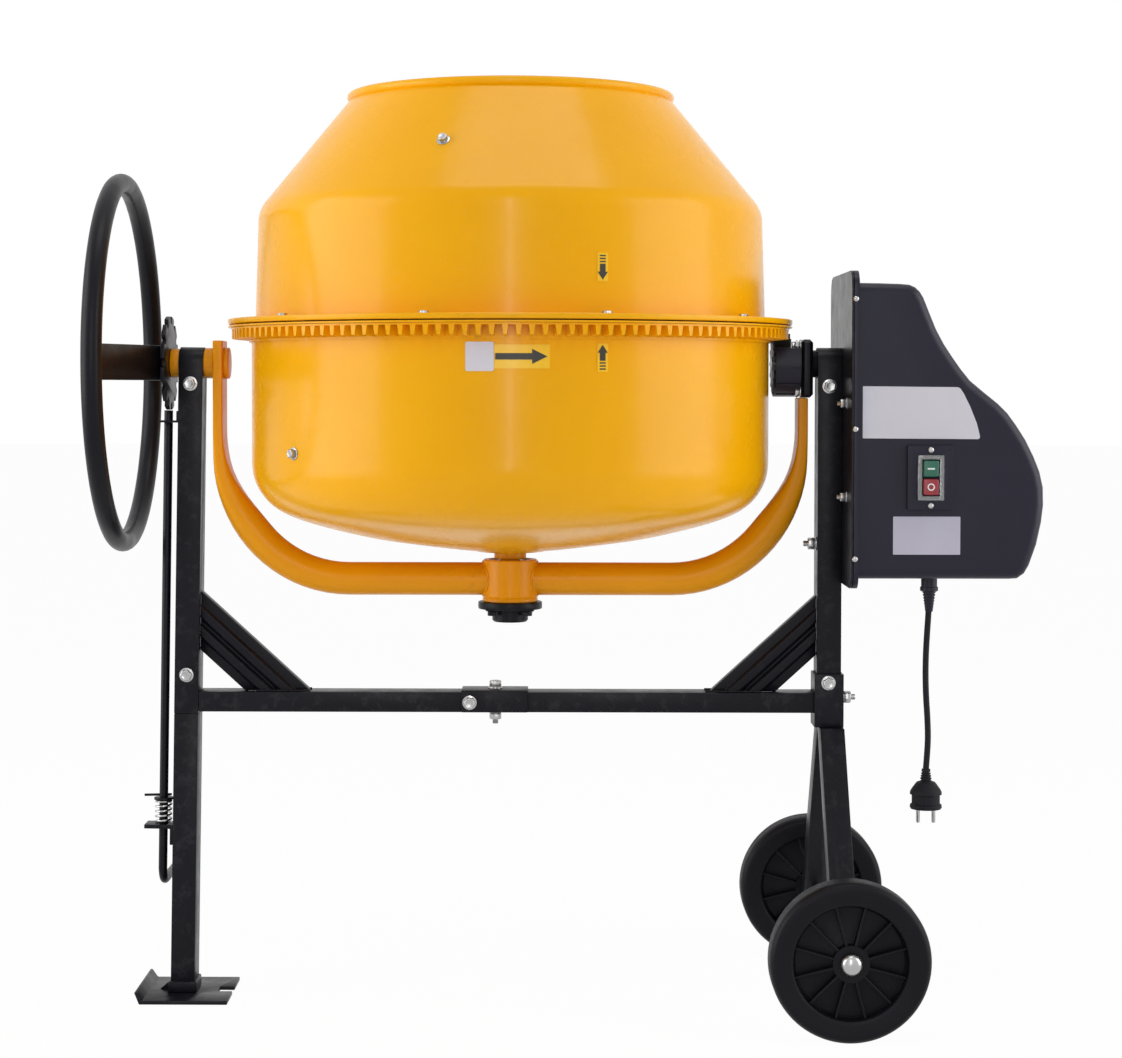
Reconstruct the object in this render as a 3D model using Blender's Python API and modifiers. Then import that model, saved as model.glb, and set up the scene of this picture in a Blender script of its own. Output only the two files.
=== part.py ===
"""Tilting-drum concrete mixer on a wheeled stand, in metres, +Z up.

Lengths are measured from the drum's axis and from the floor. One root empty then moves the
machine so that its origin is the middle of its footprint, on the floor.
"""

import math

import bmesh
import bpy
from mathutils import Matrix, Vector

# Clearances
seat_gap = 0.0003
running_gap = 0.0005

# Height of the tilt axis, and the sheet and tube the machine is made of
pivot_height = 0.792
sheet = 0.0022
tube_wall = 0.0020

# Ring gear and pinion: bevel teeth whose cones meet where the drum's axis crosses the tilt axis
bowl_radius = 0.321
ring_teeth = 144
pinion_teeth = 14
ring_radius = bowl_radius + 0.025
ring_pitch_radius = ring_radius - 0.006
pinion_pitch_radius = ring_pitch_radius * pinion_teeth / ring_teeth
tooth_inner_radius = bowl_radius + 0.0038
tooth_depth = 0.011
tooth_share = 0.40
ring_web = 0.0024
ring_skirt = 0.0027
pinion_inner = tooth_inner_radius + 0.0014
pinion_outer = ring_radius + 0.002
pinion_addendum = 0.0042
pinion_dedendum = 0.0047
pinion_hub_radius = 0.020

# Drum
bowl_bottom = pivot_height - 0.234
bowl_slope = math.radians(7.3)
bowl_corner = 0.062
seam_height = pivot_height + pinion_pitch_radius + 0.013944
ring_skirt_bottom = seam_height - 0.022
flange_radius = bowl_radius + 0.029
flange_lip = 0.0065
cone_radius = bowl_radius - 0.005
shoulder_radius = cone_radius - 0.0035
shoulder_height = seam_height + 0.141
shoulder_bend = 0.040
mouth_neck_radius = 0.198
mouth_neck_height = shoulder_height + 0.135
bead_radius = 0.0055
seal_thickness = 0.0010
drum_sides = 48

# Spindle and hub under the drum
spindle_radius = 0.0125
spindle_collar_radius = 0.020
hub_radius = 0.031
hub_bore = 0.0263
hub_top = bowl_bottom - 0.0105
hub_bottom = hub_top - 0.0525
bearing_width = 0.015
hub_flange_radius = 0.040
hub_flange_thickness = 0.009
hub_cap_radius = 0.0232
hub_cap_depth = 0.016

# Yoke: a round tube, flattened to a strip at each end
yoke_height = hub_bottom + 0.028
yoke_tube_radius = 0.0205
yoke_wall = 0.0025
yoke_outer_x = flange_radius + 0.0195
yoke_bend = 0.1955
strip_thickness = 0.0125
strip_depth = 0.050
flatten_from = 40
left_strip_top = pivot_height + 0.028

# Trunnions
trunnion_radius = 0.015
trunnion_disc_radius = 0.019
bush_radius = 0.0182
neck_radius = 0.017
block_inner_x = yoke_outer_x - 0.0095
block_thickness = 0.0150
block_top = pivot_height + 0.030
block_depth = 0.060
guard_radius = pinion_pitch_radius + 0.008
block_bottom = pivot_height - guard_radius - 0.001
guard_wall = 0.0022
guard_inner_x = pinion_inner + 0.0013
guard_opening = 28

# Posts and stand
post_width = 0.030
post_depth = 0.040
stand_half_width = yoke_outer_x + 0.0125 + post_width / 2
left_lean = math.radians(0.9)
crossbar_height = 0.370
crossbar_size = 0.025
crossbar_joint_x = -0.050
splice_from = -0.0605
splice_to = 0.0225
splice_wall = 0.0025
left_joint_height = crossbar_height - 0.015
spigot_length = 0.075
brace_top = crossbar_height + 0.130
brace_angle = math.radians(42.4)
brace_width = 0.050
sleeve_top = crossbar_height + 0.036
sleeve_bottom = crossbar_height - 0.030
sleeve_wall = 0.0028
foot_length = 0.127
foot_width = 0.115
foot_thickness = 0.005
foot_lip = 0.010

# Road wheels
wheel_radius = 0.0945
wheel_width = 0.042
wheel_track = 0.221
axle_x = stand_half_width + 0.003
axle_radius = 0.008
leg_size = 0.030
leg_foot_y = wheel_track - 0.044
leg_overrun = 0.016
axle_cap_radius = 0.013
axle_cap_depth = 0.009

# Handwheel, tilt lock and pedal, outside the left post
handwheel_radius = 0.223
handwheel_tube = 0.0125
strap_hub_x = -(stand_half_width + post_width / 2 + 0.0215)
handwheel_x = strap_hub_x - 0.0495
strap_width = 0.043
strap_thickness = 0.005
lock_disc_radius = 0.0585
lock_disc_x = strap_hub_x + 0.007
lock_disc_thickness = 0.005
lock_notches = 12
notch_width = 0.012
notch_depth = 0.009
rod_x = lock_disc_x
rod_radius = 0.0055
rod_tip_gap = 0.001
pedal_height = 0.140
pedal_length = 0.100
pedal_bend = 0.022
guide_height = pivot_height - 0.072
guide_thickness = 0.0025
bracket_top = 0.2140
bracket_thickness = 0.005
rod_washer_height = bracket_top + 0.030
rod_washer_radius = 0.012
rod_washer_thickness = 0.003
spring_radius = 0.0110
spring_wire = 0.0013
spring_turns = 5

# Motor cover and what is under it
plate_thickness = 0.003
plate_bottom = pivot_height - 0.273
plate_top = pivot_height + 0.112
plate_half_depth = 0.115
cover_half_depth = 0.105
cover_wall = 0.003
cover_flange = 0.006
pulley_plane = stand_half_width + post_width / 2 + 0.028
pulley_width = 0.016
large_pulley_radius = 0.084
motor_pulley_radius = 0.012
belt_width = 0.010
belt_thickness = 0.003
drive_shaft_radius = 0.008
motor_height = pivot_height - 0.172
motor_radius = 0.058
motor_from = pulley_plane + 0.022
motor_to = motor_from + 0.123
stator_bore = 0.0315
motor_shaft_radius = 0.006
switch_x = pulley_plane + 0.068
switch_z = motor_height + 0.0341
switch_width = 0.0556
switch_tall = 0.0772
switch_plate = 0.008
button_size = (0.0185, 0.0195)
button_pitch = 0.0220
button_proud = 0.0030

# Cord
gland_x = pulley_plane + 0.0746
gland_y = -0.060
gland_radius = 0.010
gland_bottom = plate_bottom - 0.009
cord_radius = 0.00375
plug_top = gland_bottom - 0.2155
# The cord's hanging line: its distance from the gland's axis in X and Y, and its drop.
cord_route = (
    (0.0, 0.0, seat_gap),
    (-0.0005, 0.0, 0.022),
    (-0.0020, 0.0005, 0.048),
    (-0.0032, 0.0010, 0.074),
    (-0.0035, 0.0010, 0.100),
    (-0.0028, 0.0005, 0.126),
    (-0.0012, 0.0, 0.152),
    (-0.0004, -0.0003, 0.176),
    (-0.0012, -0.0002, 0.196),
    (-0.0025, 0.0, gland_bottom - plug_top - 2 * seat_gap),
)

# Values that follow from the sizes above
yoke_straight = yoke_outer_x - yoke_bend
post_inner_x = stand_half_width - post_width / 2
post_outer_x = stand_half_width + post_width / 2
plate_inner_x = post_outer_x + seat_gap
plate_outer_x = plate_inner_x + plate_thickness
cover_from = plate_outer_x + seat_gap
left_end = handwheel_x - handwheel_tube
bowl_flange_top = seam_height - seal_thickness - 2 * seat_gap
bowl_flange_bottom = bowl_flange_top - sheet
ring_top = bowl_flange_bottom - seat_gap
tooth_root = ring_top - ring_web
tooth_tip = tooth_root - tooth_depth

# Side of the cover seen along Y, round from the plate to the plate: distance from the cover's
# back, and height above the pivot
cover_shape = (
    (-0.030, 0.0970),
    (0.0714, 0.0940),
    (0.0851, 0.0795),
    (0.1008, 0.0408),
    (0.1201, 0.0082),
    (0.1419, -0.0208),
    (0.1757, -0.0485),
    (0.1974, -0.0739),
    (0.2192, -0.1125),
    (0.2313, -0.1500),
    (0.2289, -0.1922),
    (0.2144, -0.2442),
    (0.1998, -0.2611),
    (-0.030, -0.2611),
)
cover_outline = [(cover_from + x, pivot_height + z) for x, z in cover_shape]
right_end = max(x for x, z in cover_outline)

for leftover in list(bpy.data.objects):
    bpy.data.objects.remove(leftover, do_unlink=True)

parts = bpy.data.collections.new("concrete_mixer")
helpers = bpy.data.collections.new("cutters")
bpy.context.scene.collection.children.link(parts)
bpy.context.scene.collection.children.link(helpers)
binds = {}


def paint(name, colour, roughness, metallic=0.0):
    material = bpy.data.materials.new(name)
    material.use_nodes = True
    shader = material.node_tree.nodes["Principled BSDF"]
    shader.inputs["Base Color"].default_value = (*colour, 1.0)
    shader.inputs["Roughness"].default_value = roughness
    shader.inputs["Metallic"].default_value = metallic
    return material


yellow = paint("yellow_paint", (0.86, 0.43, 0.02), 0.25)
orange = paint("orange_paint", (0.80, 0.30, 0.02), 0.35)
black_paint = paint("black_paint", (0.02, 0.02, 0.025), 0.35)
black_plastic = paint("black_plastic", (0.03, 0.03, 0.035), 0.45)
black_rubber = paint("black_rubber", (0.015, 0.015, 0.015), 0.8)
steel = paint("zinc_steel", (0.55, 0.55, 0.53), 0.3, 1.0)
iron = paint("cast_iron", (0.08, 0.08, 0.08), 0.5, 0.6)
bearing_steel = paint("bearing_steel", (0.4, 0.4, 0.4), 0.25, 1.0)
nylon = paint("nylon", (0.75, 0.73, 0.68), 0.5)
aluminium = paint("cast_aluminium", (0.5, 0.5, 0.5), 0.45, 0.9)
green_plastic = paint("green_plastic", (0.0, 0.22, 0.08), 0.35)
red_plastic = paint("red_plastic", (0.45, 0.01, 0.02), 0.35)
clear_plastic = paint("clear_plastic", (0.6, 0.6, 0.6), 0.15)


def empty(name, place, holder=None, lean=0.0):
    """An empty on a joint's axis. Its children are given in the machine's own coordinates."""
    held = bpy.data.objects.new(name, None)
    parts.objects.link(held)
    held.location = place
    held.rotation_euler[1] = lean
    if holder is not None:
        held.parent = holder
        held.matrix_parent_inverse = binds[holder.name].inverted()
    binds[name] = Matrix.Translation(place)
    return held


def add(name, data, holder, material=None):
    """Links the shape as a part, or as a cutter when it has no material."""
    made = bpy.data.objects.new(name, data)
    made.parent = holder
    made.matrix_parent_inverse = binds[holder.name].inverted()
    if material is None:
        helpers.objects.link(made)
        made.hide_render = True
        made.display_type = "WIRE"
    else:
        parts.objects.link(made)
        data.materials.append(material)
    return made


def mesh_from(name, shape):
    mesh = bpy.data.meshes.new(name)
    shape.to_mesh(mesh)
    shape.free()
    return mesh


def box(name, low, high, holder, material=None):
    low, high = Vector(low), Vector(high)
    shape = bmesh.new()
    size = Matrix.Diagonal((*(high - low), 1.0))
    bmesh.ops.create_cube(shape, size=1.0, matrix=Matrix.Translation((low + high) / 2) @ size)
    return add(name, mesh_from(name, shape), holder, material)


turns = {
    "X": Matrix.Rotation(math.radians(90), 4, "Y"),
    "Y": Matrix.Rotation(math.radians(-90), 4, "X"),
    "Z": Matrix.Identity(4),
}


def rod(name, axis, radius, start, end, centre, holder, material=None, sides=24):
    """A cylinder along an axis from start to end, where centre gives the other two coordinates."""
    shape = bmesh.new()
    middle = list(centre)
    middle["XYZ".index(axis)] = (start + end) / 2
    matrix = Matrix.Translation(middle) @ turns[axis]
    bmesh.ops.create_cone(shape, cap_ends=True, segments=sides, radius1=radius, radius2=radius,
                          depth=end - start, matrix=matrix)
    return add(name, mesh_from(name, shape), holder, material)


def turned(name, axis, profile, centre, holder, material=None, sides=32, ring=True):
    """Screws a profile of (radius, distance along the axis) points. A ring profile closes on itself."""
    area = sum(r0 * h1 - r1 * h0 for (r0, h0), (r1, h1) in zip(profile, profile[1:] + profile[:1]))
    if area > 0:
        profile = profile[::-1]
    mesh = bpy.data.meshes.new(name)
    count = len(profile)
    edges = [(i, (i + 1) % count) for i in range(count if ring else count - 1)]
    mesh.from_pydata([(r, 0.0, h) for r, h in profile], edges, [])
    made = add(name, mesh, holder, material)
    made.matrix_basis = Matrix.Translation(centre) @ turns[axis]
    screw = made.modifiers.new("Screw", "SCREW")
    screw.steps = screw.render_steps = sides
    screw.use_merge_vertices = True
    screw.merge_threshold = 0.00001
    return made


def flat(name, outline, thickness, plane, level, holder, material=None):
    """A flat outline, thickened to both sides of its level, as a welded mesh."""
    curve = bpy.data.curves.new(name, "CURVE")
    curve.dimensions = "2D"
    curve.fill_mode = "BOTH"
    curve.extrude = thickness / 2
    line = curve.splines.new("POLY")
    line.points.add(len(outline) - 1)
    for point, (u, v) in zip(line.points, outline):
        point.co = (u, v, 0.0, 1.0)
    line.use_cyclic_u = True
    place = {
        "XY": Matrix.Translation((0, 0, level)),
        "XZ": Matrix.Translation((0, level, 0)) @ Matrix.Rotation(math.radians(90), 4, "X"),
        "YZ": Matrix.Translation((level, 0, 0)) @ Matrix(((0, 0, 1, 0), (1, 0, 0, 0), (0, 1, 0, 0), (0,
            0, 0, 1))),
    }[plane]
    drawn = bpy.data.objects.new(name + "_curve", curve)
    bpy.context.scene.collection.objects.link(drawn)
    graph = bpy.context.evaluated_depsgraph_get()
    mesh = bpy.data.meshes.new_from_object(drawn.evaluated_get(graph))
    shape = bmesh.new()
    shape.from_mesh(mesh)
    bmesh.ops.remove_doubles(shape, verts=shape.verts, dist=0.00001)
    bmesh.ops.recalc_face_normals(shape, faces=shape.faces)
    shape.transform(place)
    shape.to_mesh(mesh)
    shape.free()
    mesh.name = name
    bpy.data.objects.remove(drawn)
    return add(name, mesh, holder, material)


def tube(name, points, radius, holder, material=None, resolution=2):
    """A round bar along a line of points, as a welded mesh."""
    curve = bpy.data.curves.new(name, "CURVE")
    curve.dimensions = "3D"
    curve.bevel_depth = radius
    curve.bevel_resolution = resolution
    curve.use_fill_caps = True
    line = curve.splines.new("POLY")
    line.points.add(len(points) - 1)
    for point, place in zip(line.points, points):
        point.co = (*place, 1.0)
    drawn = bpy.data.objects.new(name + "_curve", curve)
    bpy.context.scene.collection.objects.link(drawn)
    graph = bpy.context.evaluated_depsgraph_get()
    mesh = bpy.data.meshes.new_from_object(drawn.evaluated_get(graph))
    shape = bmesh.new()
    shape.from_mesh(mesh)
    bmesh.ops.remove_doubles(shape, verts=shape.verts, dist=0.00001)
    bmesh.ops.recalc_face_normals(shape, faces=shape.faces)
    shape.to_mesh(mesh)
    shape.free()
    mesh.name = name
    bpy.data.objects.remove(drawn)
    return add(name, mesh, holder, material)


def skin(name, sections, wall, closed, holder, material, outward=True):
    """A sheet through the sections, given its wall by Solidify: inwards on the closed sections of a tube."""
    shape = bmesh.new()
    rows = [[shape.verts.new(point) for point in section] for section in sections]
    count = len(sections[0])
    for row, following in zip(rows, rows[1:]):
        for i in range(count if closed else count - 1):
            j = (i + 1) % count
            shape.faces.new((row[i], row[j], following[j], following[i]))
    if closed:
        middles = [sum((Vector(p) for p in section), Vector()) / count for section in sections]
        middle = (middles[0] + middles[1]) / 2
        face = shape.faces[:][0]
        outward = face.normal_update() or face.normal.dot(face.calc_center_median() - middle) > 0
    if not outward:
        bmesh.ops.reverse_faces(shape, faces=shape.faces)
    made = add(name, mesh_from(name, shape), holder, material)
    solid = made.modifiers.new("Wall", "SOLIDIFY")
    solid.thickness = wall
    solid.offset = -1.0
    solid.use_even_offset = True
    return made


def join(target, other, operation="DIFFERENCE"):
    modifier = target.modifiers.new(other.name, "BOOLEAN")
    modifier.operation = operation
    modifier.solver = "EXACT"
    modifier.object = other
    return target


def soften(target, width, segments=2, angle=35):
    modifier = target.modifiers.new("Rounded edges", "BEVEL")
    modifier.width = width
    modifier.segments = segments
    modifier.limit_method = "ANGLE"
    modifier.angle_limit = math.radians(angle)
    return target


def arc(centre, radius, start, end, steps):
    """Points on an arc, with its angles in degrees."""
    angles = [math.radians(start + (end - start) * i / steps) for i in range(steps + 1)]
    return [(centre[0] + radius * math.cos(a), centre[1] + radius * math.sin(a)) for a in angles]


def rect_tube(name, axis, size_a, size_b, wall, start, end, centre, holder, material):
    """A square-cornered tube along Z or X, open at both ends."""
    a, b = size_a / 2, size_b / 2
    corners = [(-a, -b), (a, -b), (a, b), (-a, b)]
    if axis == "Z":
        sections = [[(centre[0] + u, centre[1] + v, h) for u, v in corners] for h in (start, end)]
    else:
        sections = [[(h, centre[1] + u, centre[2] + v) for u, v in corners] for h in (start, end)]
    return skin(name, sections, wall, True, holder, material)


machine = bpy.data.objects.new("machine", None)
parts.objects.link(machine)
machine.location = (-(left_end + right_end) / 2, 0.0, 0.0)
binds["machine"] = Matrix.Identity(4)
pivot = (0.0, 0.0, pivot_height)
left_pivot = (-stand_half_width, 0.0, pivot_height)
left_stand = empty("left_stand", left_pivot, machine, lean=left_lean)
cradle = empty("cradle_tilt", pivot, machine)
drum = empty("drum_spin", pivot, cradle)
pinion_axis = empty("pinion_spin", pivot, cradle)
rotor_axis = empty("rotor_spin", (motor_from, 0.0, motor_height), machine)


def lean_shift(height):
    """How far the leaning left post has moved towards -X at a height."""
    return math.tan(left_lean) * (pivot_height - height)


# The drum

def bowl_profile(inset):
    """Half of the bowl's wall, from under the flange to the hole in its floor, inset by a thickness."""
    radius = bowl_radius - inset
    floor = bowl_bottom + inset / math.cos(bowl_slope)
    corner = bowl_corner - inset
    turn = math.pi / 2 - bowl_slope
    meet = floor + (radius - spindle_radius) * math.tan(bowl_slope)
    tangent = corner * math.tan(turn / 2)
    centre = (radius - corner, meet + tangent)
    bend = arc(centre, corner, 0.0, -math.degrees(turn), 5)
    hole = (spindle_radius + seat_gap, floor + seat_gap * math.tan(bowl_slope))
    return bend + [hole]


def make_bowl():
    outer = bowl_profile(0.0)
    inner = bowl_profile(sheet)
    profile = [
        (bowl_radius - sheet, bowl_flange_top),
        (flange_radius, bowl_flange_top),
        (flange_radius, bowl_flange_bottom),
        (bowl_radius, bowl_flange_bottom),
        *outer,
        *inner[::-1],
    ]
    turned("drum_bowl", "Z", profile, (0, 0, 0), drum, yellow, drum_sides)


def shoulder_profile(inset):
    """The bend from the upright wall to the cone, inset by a thickness."""
    slope = math.atan2(mouth_neck_height - shoulder_height, shoulder_radius - mouth_neck_radius)
    turn = math.pi / 2 - slope
    bend = shoulder_bend - inset
    reach = shoulder_bend * math.tan(turn / 2)
    centre = (shoulder_radius - shoulder_bend, shoulder_height - reach)
    return arc(centre, bend, 0.0, math.degrees(turn), 3)


def make_cone():
    slope = math.atan2(mouth_neck_height - shoulder_height, shoulder_radius - mouth_neck_radius)
    across = Vector((-math.sin(slope), -math.cos(slope))) * sheet
    neck = (mouth_neck_radius, mouth_neck_height)
    inner_neck = (neck[0] + across.x, neck[1] + across.y)
    bead = arc((mouth_neck_radius - 0.0005, mouth_neck_height + bead_radius), bead_radius, -60, 210, 6)
    lip_top = seam_height + flange_lip
    profile = [
        (flange_radius, seam_height),
        (cone_radius - sheet, seam_height),
        *shoulder_profile(sheet),
        inner_neck,
        *bead[::-1],
        *shoulder_profile(0.0)[::-1],
        (cone_radius, seam_height + sheet),
        (flange_radius - sheet, seam_height + sheet),
        (flange_radius - sheet, lip_top),
        (flange_radius, lip_top),
    ]
    turned("drum_cone", "Z", profile, (0, 0, 0), drum, yellow, drum_sides)


def tooth_block(shape, angle, root, tip, reach_in, reach_out, share, sink):
    """One straight bevel tooth below a level face, its sides running to the pivot."""
    pitch = 2 * math.pi / ring_teeth
    corners = []
    for radius in (reach_out, reach_in):
        scale = radius / reach_out
        half_root = radius * pitch * (share + 0.09) / 2
        half_tip = radius * pitch * (share - 0.14) / 2
        tip_z = pivot_height + (tip - pivot_height) * scale
        corners += [(radius, -half_root, root + sink), (radius, half_root, root + sink),
                    (radius, half_tip, tip_z), (radius, -half_tip, tip_z)]
    turn = Matrix.Rotation(angle, 4, "Z")
    v = [shape.verts.new(turn @ Vector(c)) for c in corners]
    for face in ((0, 1, 2, 3), (7, 6, 5, 4), (0, 4, 5, 1), (1, 5, 6, 2), (2, 6, 7, 3), (3, 7, 4, 0)):
        shape.faces.new([v[i] for i in face])


def make_ring_gear():
    inner = bowl_radius + 2 * seat_gap
    profile = [
        (ring_radius, ring_top),
        (ring_radius, tooth_root),
        (inner + ring_skirt, tooth_root),
        (inner + ring_skirt, ring_skirt_bottom),
        (inner, ring_skirt_bottom),
        (inner, ring_top),
    ]
    gear = turned("ring_gear", "Z", profile, (0, 0, 0), drum, yellow, ring_teeth // 2)
    shape = bmesh.new()
    for number in range(ring_teeth):
        tooth_block(shape, 2 * math.pi * number / ring_teeth, tooth_root, tooth_tip,
                    tooth_inner_radius, ring_radius - 0.0008, tooth_share, ring_web / 2)
    bmesh.ops.recalc_face_normals(shape, faces=shape.faces)
    join(gear, add("ring_teeth", mesh_from("ring_teeth", shape), drum), "UNION")


def make_seal():
    low = bowl_flange_top + seat_gap
    high = seam_height - seat_gap
    inner = bowl_radius + 0.002
    outer = flange_radius - 0.010
    turned("drum_seal", "Z", [(outer, high), (outer, low), (inner, low), (inner, high)], (0, 0, 0), drum,
           black_rubber, drum_sides)


def make_spindle():
    """Stepped shaft: a threaded nut end inside the drum, a collar under it, then the bearing seats."""
    top = bowl_bottom + 0.040
    nut_low = bowl_bottom + sheet + 0.0045
    nut_high = nut_low + 0.014
    collar_top = bowl_bottom - seat_gap
    collar_bottom = hub_top + running_gap
    bottom = hub_bottom - hub_flange_thickness - 0.004
    profile = [
        (0.0, top),
        (spindle_radius - 0.001, top),
        (spindle_radius - 0.001, nut_high),
        (0.024, nut_high),
        (0.024, nut_low),
        (spindle_radius - 0.0003, nut_low),
        (spindle_radius - 0.0003, collar_top),
        (spindle_collar_radius, collar_top),
        (spindle_collar_radius, collar_bottom),
        (spindle_radius, collar_bottom),
        (spindle_radius, bottom),
        (0.0, bottom),
    ]
    turned("drum_spindle", "Z", profile, (0, 0, 0), drum, steel, 24, ring=False)


def wall_radius(height):
    """Inner radius of the drum's wall at a height above the bowl's corner."""
    if height < seam_height:
        return bowl_radius - sheet
    if height < shoulder_height - 0.02:
        return cone_radius - sheet - (cone_radius - shoulder_radius) * (height - seam_height) / (
            shoulder_height - seam_height)
    slope = (shoulder_radius - mouth_neck_radius) / (mouth_neck_height - shoulder_height)
    return shoulder_radius - slope * (height - shoulder_height) - sheet * math.sqrt(1 + slope * slope)


def make_blades():
    """Two bent angle bars, half a turn apart, each rising in a slow helix from the bowl to the cone."""
    low, high = seam_height - 0.167, seam_height + 0.221
    start, twist = math.radians(-141 - 2), math.radians(33)
    heights = [seam_height + h for h in (-0.167, -0.119, -0.059, -0.003, 0.061, 0.106, 0.171, 0.221)]
    clear = 0.0012
    foot, web = 0.028, 0.070
    for number, name in enumerate(("mixing_blade_a", "mixing_blade_b")):
        sections = []
        for height in heights:
            share = (height - low) / (high - low)
            angle = start + twist * share + math.pi * number
            radius = min(wall_radius(height), wall_radius(height + 0.004)) - clear
            lift = 0.0 if height < shoulder_height - 0.04 else 0.0015
            radius -= lift
            out = Vector((math.cos(angle), math.sin(angle), 0.0))
            side = Vector((-math.sin(angle), math.cos(angle), 0.0))
            base = Vector((0.0, 0.0, height))
            turn = foot / radius
            edge = base + out * (radius * math.cos(turn)) + side * (radius * math.sin(turn))
            corner = base + out * radius
            inner = base + out * (radius - web) + side * 0.012
            sections.append([edge, corner, inner])
        skin(name, sections, 0.004, False, drum, yellow, outward=False)


make_bowl()
make_cone()
make_ring_gear()
make_seal()
make_spindle()
make_blades()


# The cradle under and beside the drum

def make_bearing(name, top):
    """A sealed ball bearing as one ring, with its two faces recessed between the races."""
    low = top - bearing_width
    inner = spindle_radius + seat_gap
    outer = hub_bore - seat_gap
    race = 0.0035
    dip = 0.0008
    profile = [
        (outer, top), (outer, low), (outer - race, low), (outer - race, low + dip),
        (inner + race, low + dip), (inner + race, low), (inner, low), (inner, top),
        (inner + race, top), (inner + race, top - dip), (outer - race, top - dip), (outer - race, top),
    ]
    turned(name, "Z", profile, (0, 0, 0), cradle, bearing_steel, 24)


def make_hub():
    seat = 0.0015
    step = hub_bottom + 0.006
    shelf = hub_bore - 0.004
    low_seat = hub_bottom + bearing_width + seat
    high_seat = hub_top - bearing_width - seat
    profile = [
        (hub_radius, hub_top), (hub_radius, step), (hub_radius + 0.0035, step - 0.002),
        (hub_radius + 0.0035, hub_bottom), (hub_bore, hub_bottom), (hub_bore, low_seat),
        (shelf, low_seat), (shelf, high_seat), (hub_bore, high_seat), (hub_bore, hub_top),
    ]
    turned("yoke_hub", "Z", profile, (0, 0, 0), cradle, orange, 32)
    make_bearing("upper_bearing", hub_top - seat + seat_gap)
    make_bearing("lower_bearing", low_seat - seat_gap)


def make_hub_cover():
    flange_top = hub_bottom - seat_gap
    flange_low = flange_top - hub_flange_thickness
    bore = spindle_radius + running_gap
    turned("hub_flange", "Z", [(hub_flange_radius, flange_top), (hub_flange_radius, flange_low),
           (bore, flange_low), (bore, flange_top)], (0, 0, 0), cradle, black_paint, 32)
    cap_top = flange_low - seat_gap
    cap_low = cap_top - hub_cap_depth
    turned("hub_cap", "Z", [
        (hub_cap_radius, cap_top), (hub_cap_radius, cap_low), (0.0, cap_low), (0.0, cap_low + 0.003),
        (hub_cap_radius - 0.004, cap_low + 0.003), (hub_cap_radius - 0.004, cap_top),
    ], (0, 0, 0), cradle, black_paint, 24)


def yoke_sections(side, top):
    """Round tube from the hub, round the bend, then flattened to a strip that rises to its top."""
    bend_height = yoke_height - yoke_tube_radius + yoke_bend
    strip_half = strip_thickness / 2
    stations = []
    for distance in (hub_radius - 0.010, yoke_straight):
        stations.append((distance, 0.0, 0.0, bend_height))
    for angle in (12, 24, 36, 48, 58, 68, 79, 90):
        stations.append((yoke_straight, math.radians(angle), angle, bend_height))
    rows = []
    for start, turn, degrees, height in stations:
        share = min(1.0, max(0.0, (degrees - flatten_from) / (90 - flatten_from)))
        share = share * share * (3 - 2 * share)
        thin = yoke_tube_radius + (strip_half - yoke_tube_radius) * share
        deep = yoke_tube_radius + (strip_depth / 2 - yoke_tube_radius) * share
        reach = yoke_bend - thin
        centre = (start + reach * math.sin(turn), height - reach * math.cos(turn))
        rows.append((centre, turn, thin, deep, share))
    last = rows[-1]
    rows.append(((last[0][0], top), last[1], last[2], last[3], 1.0))
    sections = []
    for (x, z), turn, thin, deep, share in rows:
        section = []
        for step in range(12):
            angle = math.radians(15 + 30 * step)
            c, s = math.cos(angle), math.sin(angle)
            power = 1.0 - 0.72 * share
            u = thin * math.copysign(abs(c) ** power, c)
            v = deep * math.copysign(abs(s) ** power, s)
            section.append(Vector((side * (x + u * math.sin(turn)), v, z - u * math.cos(turn))))
        sections.append(section)
    return sections


def make_yoke():
    hub_space = rod("hub_space", "Z", hub_radius + 2 * seat_gap, hub_bottom - 0.05, hub_top + 0.05, (0,
        0, 0), cradle, None, 64)
    right_top = block_bottom - seat_gap
    left = skin("left_yoke_arm", yoke_sections(-1, left_strip_top), yoke_wall, True, cradle, orange)
    right = skin("right_yoke_arm", yoke_sections(1, right_top), yoke_wall, True, cradle, orange)
    join(left, hub_space)
    join(right, hub_space)
    eye = rod("trunnion_eye", "X", trunnion_radius + seat_gap, -yoke_outer_x - 0.02,
              0.03 - yoke_outer_x, pivot,
              cradle, None, 24)
    join(left, eye)


def make_left_trunnion():
    """Boss between strip and post, journal through the post and the disc, stud for the handwheel."""
    strip_inner = yoke_outer_x - strip_thickness
    boss_from = -yoke_outer_x - seat_gap
    boss_to = -post_inner_x + seat_gap + 0.0004
    stud_from = strap_hub_x + strap_thickness / 2 + seat_gap
    end = strap_hub_x - strap_thickness / 2 - 0.010
    turned("left_trunnion", "X", [
        (0.0, -strip_inner + 0.004), (trunnion_radius, -strip_inner + 0.004), (trunnion_radius, boss_from),
        (trunnion_disc_radius, boss_from), (trunnion_disc_radius, boss_to), (trunnion_radius, boss_to),
        (trunnion_radius, stud_from), (trunnion_radius / 2, stud_from), (trunnion_radius / 2, end),
        (0.0, end),
    ], pivot, cradle, orange, 24, ring=False)


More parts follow.
